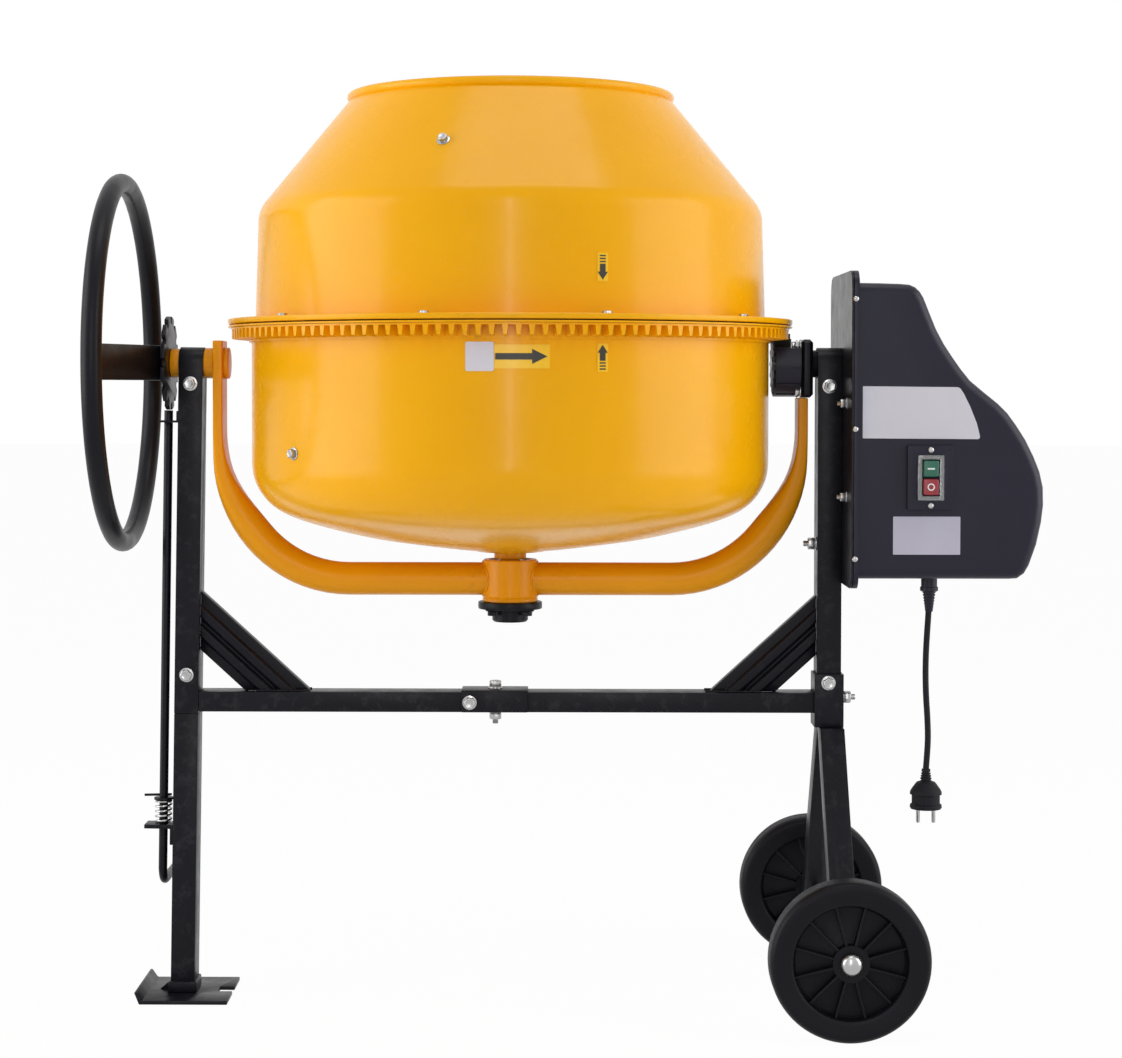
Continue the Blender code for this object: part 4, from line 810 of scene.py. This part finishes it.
def makeDrumMarks():
    bowl, cone = bpy.data.objects["drumBowl"], bpy.data.objects["drumCone"]
    corner, inkLift = markValues["cornerRadius"], markValues["inkLift"]
    x = drumAxis + 0.109
    arrows = (("upperArrow", cone, pivotHeight + 0.1065, -1), ("lowerArrow", bowl, pivotHeight + 0.004, 1))
    for name, target, centre, way in arrows:
        strip = rounded((x - 0.006, centre - 0.016), (x + 0.006, centre + 0.016), corner, 1)
        wrapped(name + "Strip", strip, target, "decal")
    for name, target, centre, way in arrows:
        tip, wing, stem = centre + way * 0.0145, centre + way * 0.0055, centre - way * 0.0035
        arrow = [(x, tip), (x - 0.0058, wing), (x - 0.0032, wing), (x - 0.0032, stem),
                 (x + 0.0032, stem), (x + 0.0032, wing), (x + 0.0058, wing)]
        wrapped(name, arrow, target, "ink", inkLift)
        for number in range(3):
            z = centre - way * (0.006 + 0.0034 * number)
            dash = [(x - 0.0034, z - 0.0008), (x + 0.0034, z - 0.0008),
                    (x + 0.0034, z + 0.0008), (x - 0.0034, z + 0.0008)]
            wrapped(f"{name}Dash{number}", dash, target, "ink", inkLift)
    level = pivotHeight + 0.0052
    start, end = drumAxis - 0.0115, drumAxis + 0.0468
    barb, half, wing = end - 0.017, 0.0036, 0.0085
    strip = rounded((start - 0.001, level - 0.0135), (end + 0.003, level + 0.0135), corner, 1)
    wrapped("turnArrowStrip", strip, bowl, "decal")
    arrow = [(end, level), (barb, level + wing), (barb, level + half), (start, level + half),
             (start, level - half), (barb, level - half), (barb, level - wing)]
    wrapped("turnArrow", arrow, bowl, "ink", inkLift)
    label = rounded((drumAxis - 0.045, level - 0.0165), (drumAxis - 0.013, level + 0.0165), 0.002)
    wrapped("blankDrumLabel", label, bowl, "drumLabel")
    print("marks on the drum")


makeDrumMarks()


# The cradle: yoke tubes flattened to strips, the hub under the drum, and the left trunnion

yokeValues = {
    "tube": 0.0205,
    "stripHalf": 0.00625,
    "stripHalfDepth": 0.025,
    "bend": 0.168,
    "flatFrom": 0.062,
    "flatTo": 0.205,
    "sides": 28,
    "seat": -0.0007,
    "hub": 0.0338,
    "hubFoot": 0.0345,
    "hubBore": 0.0263,
    "weldTube": 0.0212,
    "weldHub": 0.0339,
}


def yokeSections(side, top):
    # a round tube along the bottom and round the bend, pressed flat as it climbs to its pin
    v = yokeValues
    reachOut = (high("right_yoke_arm").x - low("left_yoke_arm").x) / 2
    bottom = low("left_yoke_arm").z + v["seat"]
    straight, bendTop = reachOut - v["bend"], bottom + v["bend"]
    stations = [(0.028, 0.0, bottom), (straight * 0.5, 0.0, bottom), (straight - 0.004, 0.0, bottom)]
    for degrees in range(0, 91, 5):
        turn = math.radians(degrees)
        stations.append((straight, turn, bendTop - v["bend"] * math.cos(turn)))
    climb = bottom + v["flatTo"] - bendTop
    stations += [(straight, math.pi / 2, bendTop + climb * step / 4) for step in range(1, 5)]
    flatTop = bendTop + climb
    stations += [(straight, math.pi / 2, flatTop + (top - flatTop) * step / 3) for step in range(1, 4)]
    sections = []
    for start, turn, height in stations:
        share = min(1.0, max(0.0, (height - bottom - v["flatFrom"]) / (v["flatTo"] - v["flatFrom"])))
        share = share * share * (3 - 2 * share)
        thin = v["tube"] + (v["stripHalf"] - v["tube"]) * share
        deep = v["tube"] + (v["stripHalfDepth"] - v["tube"]) * share
        x = start + (v["bend"] - thin) * math.sin(turn)
        z = max(height, bendTop) if turn > 1.57 else bendTop - (v["bend"] - thin) * math.cos(turn)
        section = []
        for step in range(v["sides"]):
            angle = 2 * math.pi * (step + 0.5) / v["sides"]
            c, s = math.cos(angle), math.sin(angle)
            power = 1.0 - 0.8 * share
            u, w = thin * math.copysign(abs(c) ** power, c), deep * math.copysign(abs(s) ** power, s)
            section.append(Vector((drumAxis + side * (x + u * math.sin(turn)), w, z - u * math.cos(turn))))
        sections.append(section)
    return sections


def makeYoke():
    for name, part, side in (("leftYokeArm", "left_yoke_arm", -1), ("rightYokeArm", "right_yoke_arm", 1)):
        top = high(part).z
        arm = lofted(name, yokeSections(side, top))
        selectWhere(arm, "EDGE", lambda a, b: min(a.z, b.z) > top - 0.0002)
        bpy.ops.mesh.bevel(offset=0.0016, segments=3)
        endEdit()
        finished(arm, "cradle", "orange", part, smooth=30)
    hub = middle("yoke_hub")
    top, bottom = high("yoke_hub").z, low("yoke_hub").z
    v = yokeValues
    wide, foot, bore = v["hub"], v["hubFoot"], v["hubBore"]
    profile = [(bore, top), (wide - 0.0012, top), (wide, top - 0.0012), (wide, bottom + 0.0085),
               (wide + 0.0008, bottom + 0.0065), (foot - 0.0008, bottom + 0.0046), (foot, bottom + 0.0036),
               (foot, bottom + 0.0008), (foot - 0.0008, bottom), (bore, bottom), (bore, top)]
    body = turned("yokeHub", profile, (hub.x, 0, 0), "Z", 72)
    finished(body, "cradle", "orange", "yoke_hub")

    # beads of weld where the tubes meet the hub
    tubeHeight = low("left_yoke_arm").z + v["seat"] + v["tube"]
    beads = []
    for side in (-1, 1):
        sections = []
        for step in range(40):
            angle = 2 * math.pi * step / 40
            y, z = v["weldTube"] * math.cos(angle), v["weldTube"] * math.sin(angle)
            x = math.sqrt(v["weldHub"] ** 2 - y * y)
            ripple = 0.0013 + 0.0003 * math.sin(step * 2.7) + 0.0002 * math.sin(step * 5.3)
            outwardRay = Vector((0.0, math.cos(angle), math.sin(angle)))
            section = []
            for part in range(8):
                a = 2 * math.pi * part / 8
                place = Vector((hub.x + side * (x + ripple * math.cos(a)), y, tubeHeight + z))
                section.append(place + outwardRay * ripple * math.sin(a))
            sections.append(section)
        beads.append(lofted(f"hubWeld{side}", sections, True))
    weld = joined("hubWelds", beads)
    finished(weld, "cradle", "orange", smooth=50)


def makeHubCover():
    centre = middle("hub_flange")
    softened("hub_flange", "cradle", "blackPaint", 0.0012, 2, 50)
    top, bottom = high("hub_cap").z, low("hub_cap").z
    radius = 0.0232
    profile = [(0.0, top), (radius, top), (radius, top - 0.003), (radius - 0.0008, top - 0.0038),
               (radius - 0.0008, bottom + 0.0022), (radius - 0.003, bottom), (0.012, bottom),
               (0.0108, bottom + 0.0012), (0.0, bottom + 0.0012)]
    cap = turned("hubCap", profile, (centre.x, 0, 0), "Z", 48)
    finished(cap, "cradle", "blackPaint", "hub_cap")
    circle = 0.0318
    places = []
    for degrees in (45, 135, 225, 315):
        angle = math.radians(degrees)
        place = (centre.x + circle * math.cos(angle), circle * math.sin(angle), low("hub_flange").z)
        places.append((place, (0, 0, -1)))
    fastened("hubBolts", mediumHex, places, "cradle", "blackPaint")


def makeTrunnion():
    trunnion = refined("left_trunnion", 0.0006, 1, 50)
    end = high("left_trunnion").x
    disc = barrel("trunnionDisc", 0.0195, (end - 0.004, 0, pivotHeight), (end + 0.0022, 0, pivotHeight),
                  48, 0.0012)
    finished(joined("leftTrunnion", [trunnion, disc]), "cradle", "orange", "left_trunnion")
    softened("tilt_collar", "cradle", "orange", 0.001, 2, 50)
    softened("lock_disc", "cradle", "blackPaint", 0.0007, 2, 20)


handwheelValues = {"tube": 0.0125, "steps": 128, "sides": 20}


def makeHandwheel():
    v = handwheelValues
    centre = middle("handwheel_rim")
    reach = (high("handwheel_rim").z - low("handwheel_rim").z) / 2 - v["tube"]
    circle = [(reach + v["tube"] * math.cos(a), centre.x + v["tube"] * math.sin(a))
              for a in (2 * math.pi * i / v["sides"] for i in range(v["sides"] + 1))]
    rim = turned("handwheelRim", circle, (0, 0, centre.z), "X", v["steps"])
    finished(rim, "cradle", "blackPaint", "handwheel_rim")
    strap = refined("handwheel_strap", 0.0009)
    beads = []
    for side in (-1, 1):
        for face in (-1, 1):
            route = []
            for step in range(25):
                z = -0.0215 + 0.043 * step / 24
                y = side * (math.sqrt((reach - v["tube"]) ** 2 - z * z) + 0.0002)
                route.append((centre.x + face * 0.0032 + 0.0002 * math.sin(step * 2.1), y, centre.z + z))
            beads.append(wireTube("rimWeld", route, 0.0021, 2))
    whole = joined("handwheelStrap", [strap, *beads])
    finished(whole, "cradle", "blackPaint", "handwheel_strap", smooth=40)
    place = (high("handwheel_strap").x - 0.0052, 0, pivotHeight)
    fastened("handwheelNut", wideNut, [(place, (-1, 0, 0))], "cradle")


wideNut = hexHead(0.021, 0.0085, (0.0135, 0.002))
templates.append(wideNut)
makeYoke()
makeHubCover()
makeTrunnion()
makeHandwheel()
print("cradle and handwheel")


# The pinion side: bearing block, ribbed guard, pinion

def makePinionSide():
    softened("bearing_block", "cradle", "blackPaint", 0.0011)
    guard = refined("pinion_guard", 0.0005, 1)
    start, end = low("pinion_guard").x + 0.002, high("pinion_guard").x - 0.0005
    radius, half = 0.0409, 0.0011
    parts = [guard]
    for degrees in (-8, -38, -68, -112, -142, -172):
        rib = block("guardRib", (start, radius - 0.0012, -half), (end, radius + 0.001, half), 0.0006)
        rib.rotation_euler.x = math.radians(degrees)
        rib.location = (0, 0, pivotHeight)
        parts.append(settle(rib))
    finished(joined("pinionGuard", parts), "cradle", "blackPlastic", "pinion_guard")
    face = low("bearing_block").x
    places = [((face, y, pivotHeight + z), (-1, 0, 0)) for y in (-0.0215, 0.0215) for z in (0.0225, -0.0345)]
    fastened("blockBolts", mediumHex, places, "cradle")
    softened("pinion", "pinion_shaft", "iron", 0.0006, 1).name = "drivePinion"


makePinionSide()


# The stand: square tubes, pressed braces, foot and sleeve

standPieces = (
    ("left_post", 0.0018), ("right_post", 0.0018), ("left_leg", 0.0018), ("left_crossbar", 0.0018),
    ("right_crossbar", 0.0018), ("crossbar_splice", 0.0012), ("left_brace", 0.001), ("right_brace", 0.001),
    ("stand_sleeve", 0.0014), ("front_leg", 0.0025), ("rear_leg", 0.0025), ("rod_guide", 0.0006),
    ("spring_bracket", 0.001),
)


def makeStand():
    for part, rounding in standPieces:
        softened(part, "frame", "blackPaint", rounding)
    foot = refined("foot_plate", 0.001, 2, 30)
    centre = leftPostX(0.01)
    boot = block("footBoot", (centre - 0.018, -0.0228, 0.0044), (centre + 0.018, 0.0228, 0.019), 0.0022, 3)
    half, toe = 0.0025, 0.0046
    gusset = slab("footGusset", [(centre - 0.031, -half, toe), (centre - 0.016, -half, toe),
                                 (centre - 0.016, -half, 0.018)], (0, 2 * half, 0))
    roundEdges(gusset, 0.0008, 2)
    finished(joined("footPlate", [foot, boot, gusset]), "frame", "blackPaint", "foot_plate")
    softened("left_bush", "frame", "nylon", 0.0006, 2, 50)
    softened("right_bush", "frame", "nylon", 0.0006, 2, 50)

    # weld beads along the feet of the braces
    beads = []
    barTop = high("left_crossbar").z
    reach, setBack = 0.068, 0.07
    for start, brace in ((low("left_brace").x + setBack, "left_brace"),
                         (high("right_brace").x - setBack - reach, "right_brace")):
        for y in (low(brace).y + 0.001, high(brace).y - 0.0004):
            route = [(start + reach * i / 30, y + 0.0003 * math.sin(i * 1.9), barTop + 0.0008)
                     for i in range(31)]
            beads.append(wireTube("braceWeld", route, 0.0016, 2))
    finished(joined("braceWelds", beads), "frame", "blackPaint", smooth=50)


def makeStandFastenings():
    splice, sleeve = low("crossbar_splice"), low("stand_sleeve")
    jointX = splice.x + 0.0105
    splitX = jointX + 0.0316
    beam = middle("left_crossbar").z
    through = [
        (leftPostX(0.7665), postFront, 0.7665),
        (leftPostX(0.4035), postFront, 0.4035),
        (rightPostX - 0.001, postFront, 0.764),
        (rightPostX - 0.001, sleeve.y, 0.3955),
        (jointX, splice.y, beam),
    ]
    heads = [(place, (0, -1, 0)) for place in through]
    heads.append(((splitX, 0, high("crossbar_splice").z), (0, 0, 1)))
    fastened("standBolts", largeHex, heads, "frame")
    nuts = [((x, -y, z), (0, 1, 0)) for x, y, z in through]
    nuts += [
        ((splitX, 0, splice.z), (0, 0, -1)),
        ((high("stand_sleeve").x, -0.004, 0.376), (1, 0, 0)),
        ((low("right_post").x, -0.006, 0.568), (-1, 0, 0)),
    ]
    fastened("standNuts", largeNut, nuts, "frame")
    plate = low("motor_plate")
    nuts = [((plate.x, y, z), (-1, 0, 0)) for y in (-0.068, 0.068) for z in (0.629, 0.743)]
    fastened("plateNuts", mediumNut, nuts, "frame")
    screws = [((plate.x + 0.0046, -side * plate.y, z), (0, side, 0)) for side in (-1, 1)
              for z in (0.869, 0.7125, 0.556)]
    fastened("coverScrews", smallScrew, screws, "frame")


makeStand()
makeStandFastenings()
print("stand")


# Wheels: one moulding each, with twelve ribs a side, on an axle with domed caps

wheelValues = {
    "radius": 0.0945, "half": 0.021, "side": 0.0205, "rim": 0.0665, "hub": 0.0215, "bore": 0.0087,
    "ribs": 12, "ribThick": 0.003, "steps": 96,
}


def makeWheel(name, part):
    # a wheel's body in the model has the same name as its part
    v = wheelValues
    centre = middle(part)
    r, half, side, rim, hub, bore = (v[key] for key in ("radius", "half", "side", "rim", "hub", "bore"))
    outer = [(hub, half - 0.001), (hub, 0.0062), (hub + 0.002, 0.005), (rim - 0.003, 0.005),
             (rim - 0.0008, 0.0072), (rim, 0.012), (rim + 0.0012, side - 0.0016),
             (rim + 0.003, side - 0.0004), (rim + 0.0046, side),
             (r - 0.012, side), (r - 0.008, half), (r - 0.005, half - 0.0008), (r - 0.0018, half - 0.004),
             (r - 0.0004, half - 0.008), (r, half - 0.01)]
    tread = []
    for groove in (0.0072, 0.0):
        tread += [(r, groove + 0.0012), (r - 0.0012, groove + 0.0007), (r - 0.0012, groove - 0.0007),
                  (r, groove - 0.0012)]
    tread += [(r, -0.006), (r - 0.0012, -0.0065), (r - 0.0012, -0.0079), (r, -0.0084)]
    line = [(bore, half - 0.001), *outer, *tread, *((x, -y) for x, y in outer[::-1]), (bore, -half + 0.001)]
    profile = [(x, centre.y + y) for x, y in line]
    profile.append(profile[0])
    wheel = turned(name, profile, (centre.x, 0, centre.z), "Y", v["steps"])
    ribs = []
    for way in (-1, 1):
        outline = [(hub - 0.002, 0.0042), (rim + 0.0006, 0.0042), (rim + 0.0006, 0.015),
                   (hub - 0.002, 0.0185)]
        rib = slab("wheelRib", [(x, way * y, -v["ribThick"] / 2) for x, y in outline], (0, 0, v["ribThick"]))
        roundEdges(rib, 0.0006, 1)
        for number in range(v["ribs"]):
            copy = rib.copy()
            copy.data = rib.data.copy()
            scene.collection.objects.link(copy)
            copy.rotation_euler.y = 2 * math.pi * (number + 0.5) / v["ribs"]
            copy.location = centre
            ribs.append(settle(copy))
        bpy.data.objects.remove(rib)
    finished(joined(name, [wheel, *ribs]), part, "wheelPlastic", part)


def makeAxle():
    centre = middle("axle")
    end, cap = high("axle").y, 0.0128
    bar = barrel("axle", 0.0079, (centre.x, -end + 0.004, centre.z), (centre.x, end - 0.004, centre.z), 32)
    parts = [bar]
    base = end - 0.0088
    for way in (-1, 1):
        profile = [(0.0, way * base), (cap - 0.0012, way * base), (cap, way * (base + 0.0008)),
                   (cap, way * (base + 0.0022)), (cap - 0.001, way * (base + 0.0034))]
        for a in map(math.radians, (18, 36, 54, 72)):
            profile.append(((cap - 0.0012) * math.cos(a), way * (base + 0.0034 + 0.0054 * math.sin(a))))
        profile.append((0.0, way * end))
        parts.append(turned("axleCap", profile, (centre.x, 0, centre.z), "Y", 40))
    finished(joined("wheelAxle", parts), "frame", "zinc", "axle", smooth=40)


makeWheel("frontWheel", "front_wheel")
makeWheel("rearWheel", "rear_wheel")
makeAxle()
print("wheels")


# The motor cover: a moulded shell with soft front and back edges, on a flange round the plate

coverValues = {
    "outline": (
        (0.0, 0.0972), (0.03, 0.0968), (0.056, 0.096), (0.068, 0.095), (0.0751, 0.092),
        (0.0806, 0.0868), (0.0851, 0.0795), (0.0925, 0.061), (0.1008, 0.0408), (0.11, 0.0236),
        (0.1201, 0.0082), (0.1305, -0.0066), (0.1419, -0.0208), (0.1583, -0.0345), (0.1757, -0.0485),
        (0.1874, -0.0602), (0.1974, -0.0739), (0.2092, -0.0922), (0.2192, -0.1125), (0.2266, -0.131),
        (0.2308, -0.15), (0.2313, -0.1715), (0.2289, -0.1922), (0.2232, -0.219), (0.2144, -0.2442),
        (0.2085, -0.2545), (0.1998, -0.2605), (0.19, -0.2611), (0.09, -0.2611), (0.0, -0.2611),
    ),
    "halfDepth": 0.105,
    "edge": 0.013,
    "wall": 0.0028,
    "flange": 0.006,
}


def makeCover():
    v = coverValues
    start = low("motor_cover").x
    depth = v["halfDepth"]
    outline = [(start + x, -depth, pivotHeight + z) for x, z in v["outline"]]
    shell = slab("motorCover", outline, (0, 2 * depth, 0))

    def onEnd(a, b):
        return abs(a.y - b.y) < 1e-5 and not (abs(a.x - start) < 1e-5 and abs(b.x - start) < 1e-5)

    selectWhere(shell, "EDGE", onEnd)
    bpy.ops.mesh.bevel(offset=v["edge"], segments=6, profile=0.5)
    endEdit()
    selectWhere(shell, "FACE", lambda face: face.normal.x < -0.95 and abs(face.center.x - start) < 1e-4)
    bpy.ops.mesh.delete(type="FACE")
    endEdit()
    startEdit(shell)
    bpy.ops.mesh.normals_make_consistent(inside=False)
    endEdit()
    applyModifier(shell, "SOLIDIFY", thickness=v["wall"], offset=-1.0, use_even_offset=True)

    # the flange that lies on the plate
    edges = rounded(low("motor_plate").yz, high("motor_plate").yz, 0.022, 8)
    flange = slab("coverFlange", [(start, y, z) for y, z in edges], (v["flange"], 0, 0))
    inside = v["wall"] + 0.0006
    window = block("flangeWindow", (start - 0.01, inside - depth, low("motor_cover").z + 0.0146),
                   (start + 0.02, depth - inside, pivotHeight + v["outline"][0][1] - inside))
    cutBy(flange, window)
    roundEdges(flange, 0.0016, 3, 40)
    cover = joined("motorCover", [shell, flange])
    switch = middle("switch_box")
    hole = block("switchHole", (switch.x - 0.0215, -depth - 0.02, switch.z - 0.0322),
                 (switch.x + 0.0215, -depth + 0.02, switch.z + 0.0322))
    cutBy(cover, hole)
    gland = middle("cord_gland")
    hole = barrel("glandHole", 0.0102, (gland.x, gland.y, low("cord_gland").z - 0.01),
                  (gland.x, gland.y, high("cord_gland").z + 0.02), 32)
    cutBy(cover, hole)
    finished(cover, "frame", "blackPlastic", "motor_cover", smooth=30)
    softened("motor_plate", "frame", "glossBlack", 0.0006, 1)


def makeCoverLabels():
    # both plates stay blank
    upper = [(0.4268, 0.7635), (0.4275, 0.7642), (0.5412, 0.7632), (0.544, 0.7618), (0.548, 0.756),
             (0.556, 0.74), (0.564, 0.72), (0.5681, 0.704), (0.5676, 0.7014), (0.5655, 0.7006),
             (0.4275, 0.7014), (0.4268, 0.7022)]
    lower = rounded((0.464, 0.561), (0.545, 0.607), 0.0008, 2)
    thick = 0.0003
    face = -coverValues["halfDepth"] - thick
    for name, outline, finishName in (("blankCoverLabel", upper[::-1], "label"),
                                      ("blankRatingPlate", lower, "plate")):
        label = slab(name, [(x + drumAxis, face, z) for x, z in outline], (0, thick, 0))
        finished(label, "frame", finishName)


def makeSwitch():
    softened("switch_box", "frame", "blackPlastic", 0.0012)
    centre = middle("switch_box")
    front = low("switch_box").y
    screws = [((centre.x, front, centre.z + way * 0.0335), (0, -1, 0)) for way in (-1, 1)]
    fastened("switchScrews", smallScrew, screws, "frame")
    softened("switch_guard", "frame", "clear", 0.0007)
    # a button's body in the model has the same name as its part
    softened("start_button", "start_button", "green", 0.0006, 2, 30)
    softened("stop_button", "stop_button", "red", 0.0006, 2, 30)
    face = low("start_button").y
    sunk, proud = face - 0.0003, face + 0.0004
    place = middle("start_button")
    bar = block("startMark", (place.x - 0.0044, sunk, place.z - 0.001),
                (place.x + 0.0044, proud, place.z + 0.001), 0.0002, 1)
    finished(bar, "start_button", "whitePrint")
    place = middle("stop_button")
    profile = [(0.003, sunk), (0.0044, sunk), (0.0044, proud), (0.003, proud), (0.003, sunk)]
    ring = turned("stopMark", profile, (place.x, 0, place.z), "Y", 40)
    finished(ring, "stop_button", "whitePrint")


makeCover()
makeCoverLabels()
makeSwitch()
print("motor cover and switch")


# The tilt lock: a sprung rod beside the left post, its pedal bent back at the foot

lockValues = {"radius": 0.0055, "bend": 0.022, "wire": 0.0013, "coil": 0.0097, "turns": 5, "stroke": 0.014}


def makeLockRod():
    v = lockValues
    first, last = low("lock_rod"), high("lock_rod")
    top = Vector((last.x - v["radius"], 0.0, last.z))
    level = first.z + v["radius"] - 0.0005
    lean = math.tan(postLean)
    bend = v["bend"]
    centre = top.x - lean * (last.z - level - bend)
    foot = centre - lean * 0.01
    arc = arcPoints((bend, level + bend), bend, 180, 270, 10)[1:]
    points = [tuple(top), (centre, 0.0, level + bend), *((foot, y, z) for y, z in arc), (foot, last.y, level)]
    bar = wireTube("lockRod", points, v["radius"], 6)
    roundEdges(bar, 0.0012, 2, 60)
    washerZ = high("rod_spring").z + 0.0003
    atWasher = top.x - lean * (last.z - washerZ)
    washer = barrel("rodWasher", 0.012, (atWasher, 0, washerZ), (atWasher, 0, washerZ + 0.003), 32, 0.0005)
    pinEnds = [(atWasher - 0.024, 0, washerZ + 0.0056), (atWasher + 0.01, 0, washerZ + 0.0064)]
    pin = wireTube("rodPin", pinEnds, 0.0016, 3)
    finished(joined("lockRod", [bar, washer, pin]), "lock_rod", "blackPaint", "lock_rod")

    # the spring fills its space, with its end turns closed
    bottom = low("rod_spring").z
    space = high("rod_spring").z - bottom
    span = space - 2 * v["wire"]
    sides = 24
    count = v["turns"] * sides
    route = []
    for step in range(count + 1):
        angle = 2 * math.pi * step / sides
        rise = span * min(1.0, max(0.0, step / count * 1.16 - 0.08))
        place = middle("rod_spring").x + lean * (bottom + rise - middle("rod_spring").z)
        route.append((place + v["coil"] * math.cos(angle), v["coil"] * math.sin(angle),
                      bottom + v["wire"] + rise))
    spring = wireTube("rodSpring", route, v["wire"], 2)
    finished(spring, "frame", "zinc", "rod_spring", smooth=40)
    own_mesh(spring)


makeLockRod()
print("tilt lock")


# The model's own parts that stay as they are get their finishes

keptNodes = {
    "blackPaint": ("motor_bracket",),
    "zinc": ("drive_shaft", "motor_rotor", "motor_pulley"),
    "bearing": ("pinion_bearing", "upper_bearing", "lower_bearing"),
    "aluminium": ("motor_housing", "large_pulley"),
    "rubber": ("drive_belt", "drum_seal"),
}
for finishName, names in keptNodes.items():
    for name in names:
        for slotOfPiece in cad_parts[name].material_slots:
            slotOfPiece.material = finishes[finishName]

for template in templates:
    bpy.data.objects.remove(template)


# The floor, the room and the lights

stageValues = {
    "floor": (0.86, 0.86, 0.86, 1.0),
    "floorWhite": 0.97,
    "sky": (0.97, 0.985, 1.0, 1.0),
    "world": 0.28,
    "aim": (-0.02, 0.0, 0.68),
    "panels": {
        "leftPanel": ((-3.0, -0.75, 1.3), (2.4, 3.0), 74.0),
        "rightPanel": ((3.0, -0.8, 1.3), (2.4, 3.0), 65.0),
        "frontPanel": ((-0.02, -3.6, 1.6), (0.16, 2.8), 20.0),
        "topPanel": ((0.1, -0.4, 3.2), (1.8, 0.8), 13.0),
    },
}


def whiteToLens(tree, shader, share):
    # the camera, and every ray mirrored or passed on, see this share of plain white
    def maths(operation, first, second, **values):
        made = addNode(tree, "ShaderNodeMath", operation=operation, **values)
        tree.links.new(first, made.inputs[0])
        if isinstance(second, float):
            made.inputs[1].default_value = second
        else:
            tree.links.new(second, made.inputs[1])
        return made.outputs[0]

    rays = addNode(tree, "ShaderNodeLightPath").outputs
    passed = maths("ADD", rays["Is Glossy Ray"], rays["Is Transmission Ray"], use_clamp=True)
    sees = maths("ADD", rays["Is Camera Ray"], passed, use_clamp=True)
    part = maths("MULTIPLY", sees, share)
    mix = addNode(tree, "ShaderNodeMixShader")
    tree.links.new(part, mix.inputs[0])
    tree.links.new(shader, mix.inputs[1])
    tree.links.new(addNode(tree, "ShaderNodeEmission").outputs[0], mix.inputs[2])
    return mix.outputs[0]


def makeStage():
    v = stageValues
    clearSelection()
    bpy.ops.mesh.primitive_circle_add(vertices=96, radius=30, fill_type="NGON")
    floor = latest("studioFloor")
    material = bpy.data.materials.new("paleFloor")
    material.use_nodes = True
    tree = material.node_tree
    shader = tree.nodes["Principled BSDF"]
    setSockets(shader, Roughness=0.9, Base_Color=v["floor"], Specular_IOR_Level=0.1)
    surface = whiteToLens(tree, shader.outputs[0], v["floorWhite"])
    tree.links.new(surface, tree.nodes["Material Output"].inputs["Surface"])
    floor.data.materials.append(material)

    world = bpy.data.worlds.new("studio")
    scene.world = world
    world.use_nodes = True
    tree = world.node_tree
    background = tree.nodes["Background"]
    setSockets(background, Color=v["sky"], Strength=v["world"])
    surface = whiteToLens(tree, background.outputs[0], 1.0)
    tree.links.new(surface, tree.nodes["World Output"].inputs["Surface"])


def makeLamps():
    for name, (place, size, strength) in stageValues["panels"].items():
        bpy.ops.object.light_add(type="AREA", location=place)
        lamp = bpy.context.object
        lamp.name = name
        lamp.data.shape = "RECTANGLE"
        lamp.data.size, lamp.data.size_y = size
        lamp.data.energy = strength
        aim = Vector(stageValues["aim"]) - Vector(place)
        lamp.rotation_euler = aim.to_track_quat("-Z", "Y").to_euler()


makeStage()
makeLamps()
print("stage")
